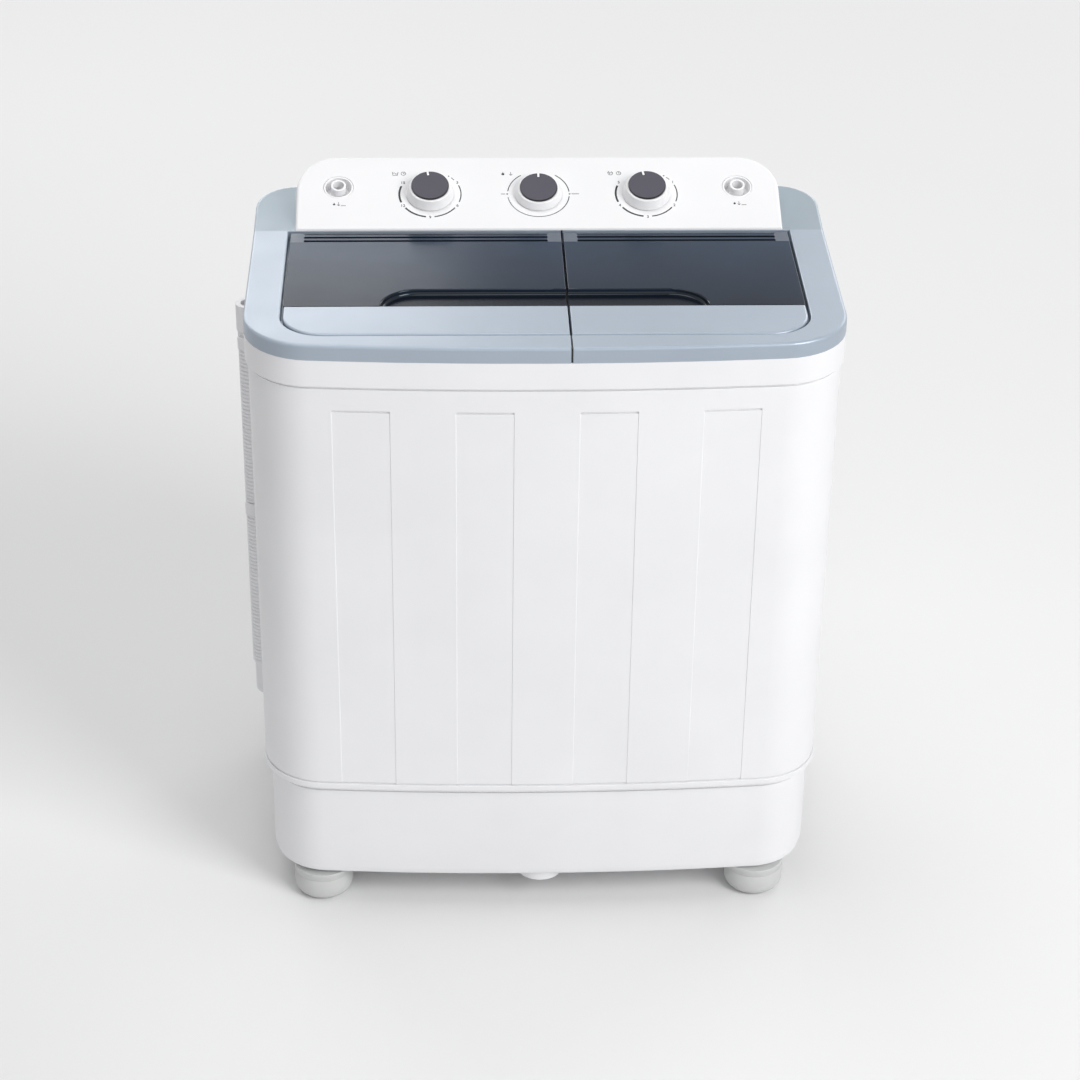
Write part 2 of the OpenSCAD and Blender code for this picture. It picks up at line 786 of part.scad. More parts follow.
// Dark rear panel of a lid, from x0 to x1
module lid_panel(x0, x1) {
    top = worktop_z - lid_wall;
    groove_x0 = x0 + lid_groove_inset;
    groove_x1 = x1 - lid_groove_inset;
    ears = hinge_places(x0 == lid_x0 ? lid_x0 : seam_x, x1 == lid_x1 ? lid_x1 : seam_x);
    difference() {
        union() {
            difference() {
                block(x0, x1, strip_y1, lid_y1, lid_z0, worktop_z);
                block(x0 + lid_wall, x1 - lid_wall, strip_y1 + lid_wall, lid_y1 + eps,
                    lid_z0 - eps, top);
                block(x0 - eps, x1 + eps, hinge_y, lid_y1 + eps, lid_z0 - eps, top);
            }
            intersection() {
                finger_hollow(hollow_wall, hollow_z - hollow_wall, worktop_z);
                block(x0, x1, strip_y1, lid_y1, lid_z0, worktop_z);
            }
            for (x = ears) {
                rod_x(x - lug_w / 2, x + lug_w / 2, hinge_y, hinge_z, knuckle_r);
                block(x - lug_w / 2, x + lug_w / 2, hinge_y - knuckle_r * 0.9, hinge_y,
                    hinge_z, top + lid_wall / 2);
            }
        }
        finger_hollow(0, hollow_z, worktop_z + eps);
        for (i = [0:groove_count - 1])
            translate([0, lid_y1 - lid_groove_w - i * lid_groove_pitch, 0])
                block(groove_x0, groove_x1, 0, lid_groove_w, worktop_z - lid_groove_depth,
                    worktop_z + eps);
        for (x = ears)
            rod_x(x - lug_w, x + lug_w, hinge_y, hinge_z, hinge_pin_r + run_gap);
    }
}

// Handle strip along a lid's front, with its outer corner rounded
module lid_strip(x0, x1, outer) {
    module outline(inset, z0, z1, back) {
        a = x0 + inset;
        b = x1 - inset;
        y0 = lid_y0 + inset;
        r = lid_corner_r - inset;
        plate(outer < 0
            ? concat(arc(a + r, y0 + r, r, 180, 270, 12), [[b, y0], [b, back], [a, back]])
            : concat(arc(b - r, y0 + r, r, -90, 0, 12), [[b, back], [a, back], [a, y0]]),
            z0, z1);
    }
    difference() {
        outline(0, lid_z0, worktop_z, strip_y1);
        outline(lid_wall, lid_z0 - eps, worktop_z - lid_wall, strip_y1 - lid_wall);
    }
}

module wash_lid_panel() {
    color("dimgray") lid_panel(lid_x0, seam_x - lid_seam_gap / 2);
}

module wash_lid_strip() {
    color("lightsteelblue") lid_strip(lid_x0, seam_x - lid_seam_gap / 2, -1);
}

module spin_lid_panel() {
    color("dimgray") lid_panel(seam_x + lid_seam_gap / 2, lid_x1);
}

module spin_lid_strip() {
    color("lightsteelblue") lid_strip(seam_x + lid_seam_gap / 2, lid_x1, 1);
}

// ---- Console ----

module console_block(inset, drop) {
    ridge_y = console_y0 + console_panel_run;
    intersection() {
        plate(console_outline(inset), worktop_z - inset, console_z1 + eps);
        profile_x([[console_y0, worktop_z - inset], [console_y0, console_z0 - drop],
            [ridge_y, console_z1 - drop], [back_y, console_z1 - drop],
            [back_y, worktop_z + shoulder_rise - inset]], -console_w / 2, console_w / 2);
    }
}

module console_shell() {
    color("white") difference() {
        console_block(0, 0);
        console_block(console_wall, console_wall / cos(console_slope));
        for (i = [-1:1])
            on_panel(i * knob_pitch, knob_up)
                translate([0, 0, -3 * console_wall]) cylinder(r = panel_hole_r, h = 6 * console_wall);
        for (side = [-1, 1])
            on_panel(side * inlet_x, inlet_up)
                translate([0, 0, -3 * console_wall]) cylinder(r = inlet_cup_r, h = 6 * console_wall);
    }
}

// ---- Knobs, timers and inlets ----

module knob(i, h) {
    body_h = h - knob_cap_t - knob_gap;
    on_panel(i * knob_pitch, knob_up) translate([0, 0, knob_gap]) difference() {
        union() {
            cylinder(r1 = knob_skirt_r, r2 = knob_cap_r + 2, h = body_h);
            translate([-pointer_w / 2, knob_cap_r - pointer_l, body_h])
                cube([pointer_w, pointer_l, knob_cap_t]);
        }
        translate([0, 0, -eps])
            cylinder(r = timer_shaft_r + run_gap, h = shaft_top - knob_gap + eps + 0.2);
        translate([0, 0, -eps]) difference() {
            cylinder(r1 = knob_skirt_r - 2.5, r2 = knob_cap_r - 1, h = body_h - 2.5);
            cylinder(r = knob_hub_r, h = body_h);
        }
    }
}

module knob_cap(i, h) {
    on_panel(i * knob_pitch, knob_up) translate([0, 0, h - knob_cap_t]) difference() {
        cylinder(r = knob_cap_r, h = knob_cap_t);
        translate([-pointer_w / 2 - run_gap, knob_cap_r - pointer_l - run_gap, -eps])
            cube([pointer_w + 2 * run_gap, 2 * pointer_l, knob_cap_t + 2 * eps]);
    }
}

module timer_shaft(i) {
    color("silver") on_panel(i * knob_pitch, knob_up) translate([0, 0, -shaft_bottom])
        cylinder(r = timer_shaft_r, h = shaft_bottom + shaft_top);
}

module timer_case(i, side, depth) {
    top = -console_wall;
    color("dimgray") on_panel(i * knob_pitch, knob_up) difference() {
        union() {
            translate([-side / 2, -side / 2, top - depth]) cube([side, side, depth]);
            translate([0, 0, top]) cylinder(r = bushing_r, h = console_wall);
        }
        translate([0, 0, -shaft_bottom - eps])
            cylinder(r = timer_shaft_r + run_gap, h = shaft_bottom + 2 * eps);
    }
}

module wash_timer_knob() { color("whitesmoke") knob(-1, timer_knob_h); }
module selector_knob() { color("whitesmoke") knob(0, selector_knob_h); }
module spin_timer_knob() { color("whitesmoke") knob(1, timer_knob_h); }
module wash_timer_cap() { color("dimgray") knob_cap(-1, timer_knob_h); }
module selector_cap() { color("dimgray") knob_cap(0, selector_knob_h); }
module spin_timer_cap() { color("dimgray") knob_cap(1, timer_knob_h); }
module wash_timer_shaft() { timer_shaft(-1); }
module selector_shaft() { timer_shaft(0); }
module spin_timer_shaft() { timer_shaft(1); }
module wash_timer() { timer_case(-1, timer_side, timer_depth); }
module drain_selector() { timer_case(0, selector_side, selector_depth); }
module spin_timer() { timer_case(1, timer_side, timer_depth); }

module inlet(side) {
    cup = inlet_cup_r - touch;
    color("white") on_panel(side * inlet_x, inlet_up) difference() {
        union() {
            translate([0, 0, -inlet_cup_depth]) cylinder(r = cup, h = inlet_cup_depth);
            translate([0, 0, -inlet_cup_depth - inlet_pipe_l])
                cylinder(r = inlet_spigot_r, h = inlet_pipe_l + eps);
            translate([0, 0, -console_wall - 2]) cylinder(r = cup + 3, h = 2);
        }
        translate([0, 0, -inlet_cup_depth + 2]) difference() {
            cylinder(r = cup - 2, h = inlet_cup_depth + inlet_proud);
            cylinder(r = inlet_spigot_r, h = inlet_cup_depth + inlet_proud);
        }
        translate([0, 0, -inlet_cup_depth - inlet_pipe_l - eps])
            cylinder(r = inlet_bore_r, h = inlet_cup_depth + inlet_pipe_l + inlet_proud + 2 * eps);
    }
    color("white") on_panel(side * inlet_x, inlet_up) difference() {
        translate([0, 0, -eps]) cylinder(r = inlet_spigot_r, h = inlet_proud + eps);
        translate([0, 0, -2 * eps]) cylinder(r = inlet_bore_r, h = inlet_proud + 4 * eps);
    }
}

module wash_inlet() { inlet(-1); }
module spin_inlet() { inlet(1); }

// ---- Wash tub and its drive ----

module tub_outline(inset, z0, z1) {
    plate(rounded(tub_x0 + inset, tub_x1 - inset, tub_y0 + inset, tub_y1 - inset,
        tub_corner_r - inset), z0, z1);
}

module wash_tub() {
    color("aliceblue") difference() {
        union() {
            tub_outline(0, wash_floor_z, tub_top_z);
            disc(tub_cx, tub_cy, pulsator_hub_r, wash_floor_z - 1, wash_floor_z + tub_wall);
        }
        tub_outline(tub_wall, wash_floor_z + tub_wall, tub_top_z + eps);
        disc(tub_cx, tub_cy, pulsator_shaft_r + 4, wash_floor_z - 2,
            wash_floor_z + tub_wall + eps);
        disc(wash_drain_x, valve_y, pipe_r - pipe_wall, wash_floor_z - eps,
            wash_floor_z + tub_wall + eps);
    }
}

module wash_bearing() {
    color("gray") difference() {
        union() {
            disc(tub_cx, tub_cy, bearing_r, bearing_z0, wash_floor_z - 1);
            disc(tub_cx, tub_cy, bearing_flange_r, wash_floor_z - 1 - bearing_flange_t,
                wash_floor_z - 1);
        }
        disc(tub_cx, tub_cy, pulsator_shaft_r + run_gap, bearing_z0 - eps, wash_floor_z);
    }
}

module pulsator() {
    color("lightskyblue") translate([tub_cx, tub_cy, pulsator_z0]) difference() {
        union() {
            cylinder(r = pulsator_r, h = pulsator_rim_h);
            cylinder(r1 = pulsator_hub_r + 16, r2 = pulsator_hub_r - 6, h = pulsator_hub_h);
            for (i = [0:vane_count - 1])
                rotate([0, 0, i * 360 / vane_count]) translate([0, -vane_w / 2, 0])
                    cube([pulsator_r - vane_gap, vane_w, pulsator_rim_h + vane_h]);
        }
        translate([0, 0, -eps])
            cylinder(r = pulsator_shaft_r + run_gap, h = shaft_end_z - pulsator_z0 + eps);
        translate([0, 0, pulsator_hub_h - screw_seat]) cylinder(r = screw_seat_r, h = screw_seat + eps);
        translate([0, 0, -eps]) cylinder(r = screw_r + run_gap, h = pulsator_hub_h + 1);
    }
}

module pulsator_screw() {
    color("silver") translate([tub_cx, tub_cy, 0]) {
        seat_z = pulsator_z0 + pulsator_hub_h - screw_seat;
        translate([0, 0, shaft_end_z]) cylinder(r = screw_r, h = seat_z - shaft_end_z + eps);
        translate([0, 0, seat_z]) cylinder(r = screw_seat_r - 2, h = screw_seat - 1);
    }
}

module pulsator_shaft() {
    color("silver") disc(tub_cx, tub_cy, pulsator_shaft_r, pulley_z0 - 6, shaft_end_z);
}

// Grooved pulley on a shaft
module pulley(x, y, r, shaft_r) {
    groove_z0 = (pulley_h - groove_h) / 2;
    translate([x, y, pulley_z0]) difference() {
        cylinder(r = r, h = pulley_h);
        translate([0, 0, groove_z0]) difference() {
            cylinder(r = r + eps, h = groove_h);
            translate([0, 0, -eps]) cylinder(r = r - groove_depth, h = groove_h + 2 * eps);
        }
        translate([0, 0, -eps]) cylinder(r = shaft_r + run_gap, h = pulley_h + 2 * eps);
    }
}

module wash_pulley() {
    color("dimgray") pulley(tub_cx, tub_cy, pulley_r, pulsator_shaft_r);
}

module wash_motor_pulley() {
    color("dimgray") pulley(wash_motor_x, wash_motor_y, motor_pulley_r, motor_shaft_r);
}

module wash_motor() {
    z1 = wash_motor_z0 + wash_motor_h;
    color("slategray") difference() {
        union() {
            disc(wash_motor_x, wash_motor_y, wash_motor_r, wash_motor_z0, z1);
            disc(wash_motor_x, wash_motor_y, motor_shaft_r + 8, z1 - eps, z1 + 4);
        }
        disc(wash_motor_x, wash_motor_y, rotor_r + rotor_gap, wash_motor_z0 + motor_end_t,
            z1 - motor_end_t);
        disc(wash_motor_x, wash_motor_y, motor_shaft_r + run_gap, z1 - motor_end_t - eps,
            z1 + 5);
    }
}

module wash_motor_shaft() {
    z0 = wash_motor_z0 + motor_end_t + touch;
    color("silver") {
        disc(wash_motor_x, wash_motor_y, motor_shaft_r, z0, pulley_z0 + pulley_h + 4);
        disc(wash_motor_x, wash_motor_y, rotor_r, z0,
            wash_motor_z0 + wash_motor_h - motor_end_t - touch);
    }
}

module drive_belt() {
    inner_a = pulley_r - groove_depth + belt_gap;
    inner_b = motor_pulley_r - groove_depth + belt_gap;
    color("black") difference() {
        plate(belt_outline(tub_cx, tub_cy, inner_a + belt_t, wash_motor_x,
            wash_motor_y, inner_b + belt_t), belt_z0, belt_z0 + belt_w);
        plate(belt_outline(tub_cx, tub_cy, inner_a, wash_motor_x, wash_motor_y,
            inner_b), belt_z0 - eps, belt_z0 + belt_w + eps);
    }
}

// ---- Lint filter and drain ----

module filter_guide() {
    y1 = tub_y1 - tub_wall;
    x0 = filter_x - filter_w / 2 - filter_gap;
    x1 = filter_x + filter_w / 2 + filter_gap;
    y0 = y1 - filter_t - 2 * filter_gap - guide_wall;
    color("aliceblue") difference() {
        block(x0 - guide_wall, x1 + guide_wall, y0, y1, filter_z0 - guide_wall,
            filter_z0 + filter_h);
        block(x0, x1, y0 + guide_wall, y1 + eps, filter_z0, filter_z0 + filter_h + eps);
        block(x0 + guide_lap, x1 - guide_lap, y0 - eps, y1, filter_z0 + guide_lap,
            filter_z0 + filter_h + eps);
    }
}

module lint_filter() {
    y1 = tub_y1 - tub_wall - filter_gap;
    x0 = filter_x - filter_w / 2;
    x1 = filter_x + filter_w / 2;
    color("deepskyblue") difference() {
        block(x0, x1, y1 - filter_t, y1, filter_z0 + touch, filter_z0 + filter_h + filter_grip_h);
        for (i = [0:2])
            translate([0, 0, i * filter_h / 3])
                block(x0 + filter_bar, x1 - filter_bar, y1 - filter_t - eps, y1 + eps,
                    filter_z0 + 1.5 * filter_bar, filter_z0 + filter_h / 3);
    }
}

module overflow_cover() {
    x1 = tub_x1 - tub_wall;
    color("aliceblue") difference() {
        block(x1 - overflow_t, x1, overflow_y1 - overflow_w, overflow_y1,
            wash_floor_z + tub_wall, overflow_z1);
        block(x1 - overflow_t + overflow_wall, x1 + eps, overflow_y1 - overflow_w + overflow_wall,
            overflow_y1 - overflow_wall, wash_floor_z + tub_wall - eps,
            overflow_z1 - overflow_wall);
    }
}

module drain_valve() {
    bore = valve_r - valve_wall;
    color("gainsboro") difference() {
        disc(valve_x, valve_y, valve_r, valve_z0, valve_z1);
        disc(valve_x, valve_y, bore, valve_z0 + valve_wall, valve_seat_z - valve_wall);
        disc(valve_x, valve_y, plunger_r - 4, valve_seat_z - 2 * valve_wall, valve_seat_z + 1);
        disc(valve_x, valve_y, bore, valve_seat_z, valve_z1 - valve_wall);
        disc(valve_x, valve_y, rod_r + run_gap, valve_z1 - 2 * valve_wall, valve_z1 + eps);
        rod_x(valve_x - valve_r - eps, valve_x, valve_y, drain_z, pipe_r - pipe_wall);
        rod_x(valve_x - valve_r - eps, valve_x, valve_y, wash_drain_z, pipe_r - pipe_wall);
        rod_y(spin_drain_x, valve_y - valve_r - eps, valve_y, wash_drain_z, small_bore_r);
    }
}

module drain_plunger() {
    z0 = valve_seat_z + touch;
    color("seagreen") {
        disc(valve_x, valve_y, plunger_r, z0, z0 + plunger_t);
        disc(valve_x, valve_y, rod_r, z0 + plunger_t - eps, rod_top_z);
    }
}

module drain_pipes() {
    bore = pipe_r - pipe_wall;
    color("gainsboro") {
        difference() {
            union() {
                disc(wash_drain_x, valve_y, pipe_r, wash_drain_z - pipe_r, wash_floor_z);
                rod_x(wash_drain_x, valve_x - pipe_sink, valve_y, wash_drain_z, pipe_r);
            }
            disc(wash_drain_x, valve_y, bore, wash_drain_z, wash_floor_z + eps);
            rod_x(wash_drain_x, valve_x, valve_y, wash_drain_z, bore);
            disc(valve_x, valve_y, valve_r, valve_z0, valve_z1);
        }
        difference() {
            rod_x(-frame_w / 2 + base_inset + wall, valve_x - pipe_sink, valve_y, drain_z, pipe_r);
            rod_x(-frame_w / 2, valve_x, valve_y, drain_z, bore);
            disc(valve_x, valve_y, valve_r, valve_z0, valve_z1);
        }
        difference() {
            union() {
                disc(spin_drain_x, spin_drain_y, small_pipe_r, wash_drain_z - small_pipe_r,
                    spin_floor_z);
                rod_y(spin_drain_x, spin_drain_y, valve_y - valve_r / 2, wash_drain_z,
                    small_pipe_r);
            }
            disc(spin_drain_x, spin_drain_y, small_bore_r, wash_drain_z, spin_floor_z + eps);
            rod_y(spin_drain_x, spin_drain_y, valve_y, wash_drain_z, small_bore_r);
            disc(valve_x, valve_y, valve_r, valve_z0, valve_z1);
        }
    }
}

// Elbow that turns the drain up along the cabinet's side
module elbow(r, z1) {
    rod_x(hose_x, -frame_w / 2 + base_inset + wall, hose_y, drain_z, r);
    translate([hose_x, hose_y, drain_z]) sphere(r = r);
    translate([hose_x, hose_y, drain_z]) cylinder(r = r, h = z1 - drain_z);
}

module drain_outlet() {
    color("gainsboro") difference() {
        elbow(spigot_r, hose_z0);
        elbow(spigot_r - pipe_wall, hose_z0 + eps);
        block(-frame_w / 2 + base_inset + wall, 0, 0, back_y, 0, cabinet_z0);
    }
}

// Hose along a route of points one above the other
module drain_hose() {
    rings = len(HOSE_PATH);
    function ring(p, r) = [for (k = [0:hose_sides - 1]) let (a = 360 * k / hose_sides)
        [p[0] + r * cos(a), p[1] + r * sin(a), p[2]]];
    points = [for (p = HOSE_PATH) each ring(p, hose_r)];
    sides = [for (i = [0:rings - 2]) for (k = [0:hose_sides - 1])
        let (a = i * hose_sides, b = a + hose_sides, m = (k + 1) % hose_sides)
        [a + k, b + k, b + m, a + m]];
    ends = [[for (k = [0:hose_sides - 1]) k],
        [for (k = [hose_sides - 1:-1:0]) (rings - 1) * hose_sides + k]];
    color("gainsboro") polyhedron(points, concat(sides, ends));
}

module hose_cuff() {
    color("gray") difference() {
        disc(hose_x, hose_y, hose_r + 1, hose_z1, hose_z1 + cuff_l);
        disc(hose_x, hose_y, cuff_bore_r, hose_z1 - eps, hose_z1 + cuff_l + eps);
    }
}

module hose_clips() {
    inner = hose_r + touch;
    outer = inner + clip_t;
    wall_x = -frame_w / 2 + cabinet_inset;
    color("gray")
        for (z = clip_zs)
            difference() {
                union() {
                    disc(hose_x, hose_y, outer, z, z + clip_h);
                    block(wall_x - clip_t, wall_x, hose_y - outer - clip_ear,
                        hose_y + outer + clip_ear, z, z + clip_h);
                }
                disc(hose_x, hose_y, inner, z - eps, z + clip_h + eps);
                block(wall_x, 0, hose_y - 2 * outer, hose_y + 2 * outer, z - eps,
                    z + clip_h + eps);
                block(hose_x - outer - eps, hose_x - inner * 0.5, hose_y - inner * 0.6,
                    hose_y + inner * 0.6, z - eps, z + clip_h + eps);
            }
}

// ---- Spin tub and its drive ----

module spin_tub() {
    color("aliceblue") difference() {
        disc(spin_x, spin_y, spin_tub_r, spin_floor_z, ledge_z0);
        disc(spin_x, spin_y, spin_tub_r - tub_wall, spin_floor_z + tub_wall, ledge_z0 + eps);
        disc(spin_x, spin_y, seal_r - 4, spin_floor_z - eps, spin_floor_z + tub_wall + eps);
        disc(spin_drain_x, spin_drain_y, small_bore_r, spin_floor_z - eps,
            spin_floor_z + tub_wall + eps);
    }
}

module spin_basket() {
    z1 = basket_z0 + basket_h;
    row_pitch = (basket_h - 2 * basket_hole_margin) / (basket_rows - 1);
    color("gainsboro") difference() {
        union() {
            disc(spin_x, spin_y, basket_r, basket_z0, z1);
            disc(spin_x, spin_y, basket_hub_r, basket_z0 - basket_boss_h, basket_z0 + eps);
        }
        difference() {
            disc(spin_x, spin_y, basket_r - basket_wall, basket_z0 + basket_floor_t,
                z1 - basket_lip_t);
            disc(spin_x, spin_y, basket_hub_r, basket_z0, basket_z0 + basket_hub_h);
        }
        disc(spin_x, spin_y, basket_lip_r, z1 - basket_lip_t - eps, z1 + eps);
        disc(spin_x, spin_y, spin_shaft_r + run_gap, basket_z0 - basket_boss_h - eps,
            spin_shaft_z1 + 1);
        for (row = [0:basket_rows - 1])
            for (i = [0:basket_columns - 1])
                translate([spin_x, spin_y, basket_z0 + basket_hole_margin + row * row_pitch])
                    rotate([0, 90, (i + row % 2 / 2) * 360 / basket_columns])
                        translate([0, 0, basket_r - 10]) cylinder(r = basket_hole_r, h = 12);
    }
}

module spin_press_cap() {
    color("lightskyblue") difference() {
        disc(spin_x, spin_y, press_cap_r, press_cap_z0, press_cap_z0 + press_cap_t);
        for (i = [0:5])
            translate([spin_x, spin_y, press_cap_z0 - eps]) rotate([0, 0, i * 60])
                translate([press_cap_r * 0.6, 0, 0])
                    cylinder(r = press_hole_r, h = press_cap_t + 2 * eps);
    }
}

module spin_shaft() {
    z0 = spin_motor_z0 + motor_end_t + touch;
    color("silver") {
        disc(spin_x, spin_y, spin_shaft_r, z0, spin_shaft_z1);
        disc(spin_x, spin_y, rotor_r, z0, spin_motor_z1 - motor_end_t - touch);
    }
}

module spin_seal() {
    z0 = spin_floor_z - seal_h;
    color("black") difference() {
        union() {
            disc(spin_x, spin_y, seal_neck_r, z0, spin_floor_z);
            disc(spin_x, spin_y, seal_r, spin_floor_z - seal_flange_t, spin_floor_z);
        }
        disc(spin_x, spin_y, spin_shaft_r + touch, z0 - eps, spin_floor_z + eps);
    }
}

module brake_drum() {
    color("gray") difference() {
        disc(spin_x, spin_y, drum_r, drum_z0, drum_z0 + drum_h);
        disc(spin_x, spin_y, drum_r - drum_wall, drum_z0 + drum_wall, drum_z0 + drum_h + eps);
        disc(spin_x, spin_y, spin_shaft_r + run_gap, drum_z0 - eps, drum_z0 + drum_h);
    }
}

module brake_lever() {
    z0 = drum_z0 + lever_gap;
    z1 = drum_z0 + drum_h - lever_gap;
    post_y = spin_y - brake_post_run;
    r0 = drum_r + brake_gap;
    r1 = r0 + pad_t;
    mid = (pad_a0 + pad_a1) / 2;
    function from_axis(r, a) = [spin_x + r * cos(a), spin_y + r * sin(a)];
    color("indianred") difference() {
        union() {
            disc(spin_x, post_y, brake_post_r + post_wall, z0, z1);
            plate([[spin_x, post_y - 4], from_axis(r1 + 2, mid - 4), from_axis(r1 - 3, mid + 8),
                [spin_x, post_y + 4]], z0, z1);
            plate(concat([for (i = [0:8]) from_axis(r1, pad_a0 + (pad_a1 - pad_a0) * i / 8)],
                [for (i = [8:-1:0]) from_axis(r0, pad_a0 + (pad_a1 - pad_a0) * i / 8)]), z0, z1);
        }
        disc(spin_x, post_y, brake_post_r + run_gap, z0 - eps, z1 + eps);
    }
}

module spin_motor() {
    post_y = spin_y - brake_post_run;
    color("slategray") difference() {
        union() {
            disc(spin_x, spin_y, spin_motor_r, spin_motor_z0 - eps, spin_motor_z1);
            disc(spin_x, spin_y, motor_plate_r, motor_plate_z0, spin_motor_z0);
            disc(spin_x, post_y, brake_post_r, spin_motor_z0 - eps, drum_z0 + drum_h);
            disc(spin_x, post_y, brake_post_r + post_wall, spin_motor_z0 - eps,
                drum_z0 + lever_gap - touch);
        }
        disc(spin_x, spin_y, rotor_r + rotor_gap, spin_motor_z0 + motor_end_t,
            spin_motor_z1 - motor_end_t);
        disc(spin_x, spin_y, spin_shaft_r + run_gap, spin_motor_z1 - motor_end_t - eps,
            spin_motor_z1 + eps);
    }
}

module spin_mounts() {
    color("dimgray")
        for (i = [0:2])
            translate([spin_x, spin_y, base_floor_z]) rotate([0, 0, 30 + 120 * i])
                translate([mount_run, 0, 0]) {
                    cylinder(r = mount_r, h = mount_h);
                    for (k = [0:mount_rings - 1])
                        translate([0, 0, (k + 0.5) * mount_h / mount_rings])
                            rotate_extrude() translate([mount_r, 0])
                                circle(r = mount_ring_r, $fn = 16);
                }
}

// ---- Back ----

function cover_screw_places() = [for (side = [-1, 1]) for (level = [0:2])
    [side * (cover_w / 2 - cover_lap / 2), cover_z0 + cover_lap / 2 + level * (cover_h - cover_lap) / 2]];

module back_cover() {
    color("gainsboro") difference() {
        block(-cover_w / 2, cover_w / 2, cover_y, cover_y + cover_t, cover_z0,
            cover_z0 + cover_h);
        for (i = [0:slot_count - 1])
            translate([0, 0, cover_z0 + slot_margin + i * (cover_h - 2 * slot_margin) / slot_count])
                block(-slot_w / 2, slot_w / 2, cover_y - eps, cover_y + cover_t + eps, 0, slot_h);
        for (at = cover_screw_places())
            rod_y(at[0], cover_y - eps, cover_y + cover_t + eps, at[1], screw_r + touch);
    }
}

module cover_screws() {
    color("silver")
        for (at = cover_screw_places()) {
            rod_y(at[0], cover_y + cover_t - screw_l, cover_y + cover_t + eps, at[1], screw_r);
            rod_y(at[0], cover_y + cover_t, cover_y + cover_t + screw_head_t, at[1],
                screw_head_r);
        }
}

module cord_gland() {
    face = back_y - base_inset;
    color("black") difference() {
        union() {
            rod_y(gland_x, face - wall - gland_wall, face + gland_proud, gland_z,
                gland_bore_r + gland_wall);
            rod_y(gland_x, face, face + gland_wall, gland_z, gland_bore_r + 2 * gland_wall);
        }
        rod_y(gland_x, face - 2 * wall - gland_wall, back_y, gland_z, gland_bore_r);
    }
}

cabinet();
base();
foot(-1, -1);  // foot_front_left
foot(1, -1);  // foot_front_right
foot(-1, 1);  // foot_rear_left
foot(1, 1);  // foot_rear_right
wash_top_frame();
spin_top_frame();
console_shell();
wash_lid_panel();
wash_lid_strip();
spin_lid_panel();
spin_lid_strip();
lid_hinge_pins();
wash_timer_knob();
wash_timer_cap();
wash_timer_shaft();
selector_knob();
selector_cap();
selector_shaft();
spin_timer_knob();
spin_timer_cap();
spin_timer_shaft();
wash_timer();
drain_selector();
spin_timer();
wash_inlet();
spin_inlet();
wash_tub();
wash_bearing();
pulsator();
pulsator_screw();
pulsator_shaft();
wash_pulley();
wash_motor();
wash_motor_shaft();
wash_motor_pulley();
drive_belt();
filter_guide();
lint_filter();
overflow_cover();
drain_valve();
drain_plunger();
drain_pipes();
drain_outlet();
drain_hose();
hose_cuff();
hose_clips();
spin_tub();
spin_basket();
spin_press_cap();
spin_shaft();
spin_seal();
brake_drum();
brake_lever();
spin_motor();
spin_mounts();
back_cover();
cover_screws();
cord_gland();
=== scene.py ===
import json
import math

import bmesh
import bpy
from mathutils import Matrix, Vector


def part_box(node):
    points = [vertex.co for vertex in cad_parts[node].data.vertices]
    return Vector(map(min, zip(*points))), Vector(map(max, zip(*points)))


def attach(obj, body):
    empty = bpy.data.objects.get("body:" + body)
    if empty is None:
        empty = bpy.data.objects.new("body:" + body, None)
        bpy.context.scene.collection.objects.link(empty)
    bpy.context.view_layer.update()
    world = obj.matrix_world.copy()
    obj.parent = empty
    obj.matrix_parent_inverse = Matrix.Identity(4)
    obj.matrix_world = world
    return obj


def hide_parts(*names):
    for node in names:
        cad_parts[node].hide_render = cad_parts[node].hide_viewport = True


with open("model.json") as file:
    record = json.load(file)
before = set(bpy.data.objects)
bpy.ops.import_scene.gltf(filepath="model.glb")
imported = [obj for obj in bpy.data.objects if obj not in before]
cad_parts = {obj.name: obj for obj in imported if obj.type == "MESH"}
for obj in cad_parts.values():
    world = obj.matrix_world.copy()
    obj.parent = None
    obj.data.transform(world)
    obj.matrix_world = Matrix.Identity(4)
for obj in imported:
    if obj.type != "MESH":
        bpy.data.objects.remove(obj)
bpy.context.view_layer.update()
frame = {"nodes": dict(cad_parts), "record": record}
record = frame["record"]
mm = 0.001


# camera, a little left of the middle and looking down at the lids

cameraLook = {"place": (-0.098, -2.5536, 1.8688), "target": (0.0014, 0.0, 0.3448), "lens": 94.6,
              "sensor": 36, "roll": 0.77, "shiftY": 0.0034, "reach": 60}


def addCamera():
    look = cameraLook
    bpy.ops.object.camera_add(location=look["place"])
    camera = bpy.context.object
    sight = (Vector(look["target"]) - Vector(look["place"])).to_track_quat("-Z", "Y").to_matrix()
    camera.rotation_euler = (sight @ Matrix.Rotation(math.radians(look["roll"]), 3, "Z")).to_euler()
    camera.data.lens = look["lens"]
    camera.data.sensor_width = look["sensor"]
    camera.data.shift_y = look["shiftY"]
    camera.data.clip_end = look["reach"]
    bpy.context.scene.camera = camera


addCamera()
print("camera is in place")


# working helpers

def deselectAll():
    bpy.ops.object.select_all(action="DESELECT")


def useAlone(piece):
    deselectAll()
    piece.select_set(True)
    bpy.context.view_layer.objects.active = piece


def startEdit(piece, mode="EDGE"):
    useAlone(piece)
    bpy.ops.object.mode_set(mode="EDIT")
    bpy.ops.mesh.select_mode(type=mode)
    bpy.ops.mesh.select_all(action="DESELECT")


def endEdit():
    bpy.ops.object.mode_set(mode="OBJECT")


def selectMesh():
    bpy.ops.mesh.select_all(action="SELECT")


def cutMesh(point, direction, **settings):
    # in edit mode, by the plane through a point in metres
    selectMesh()
    bpy.ops.mesh.bisect(plane_co=point, plane_no=direction, **settings)


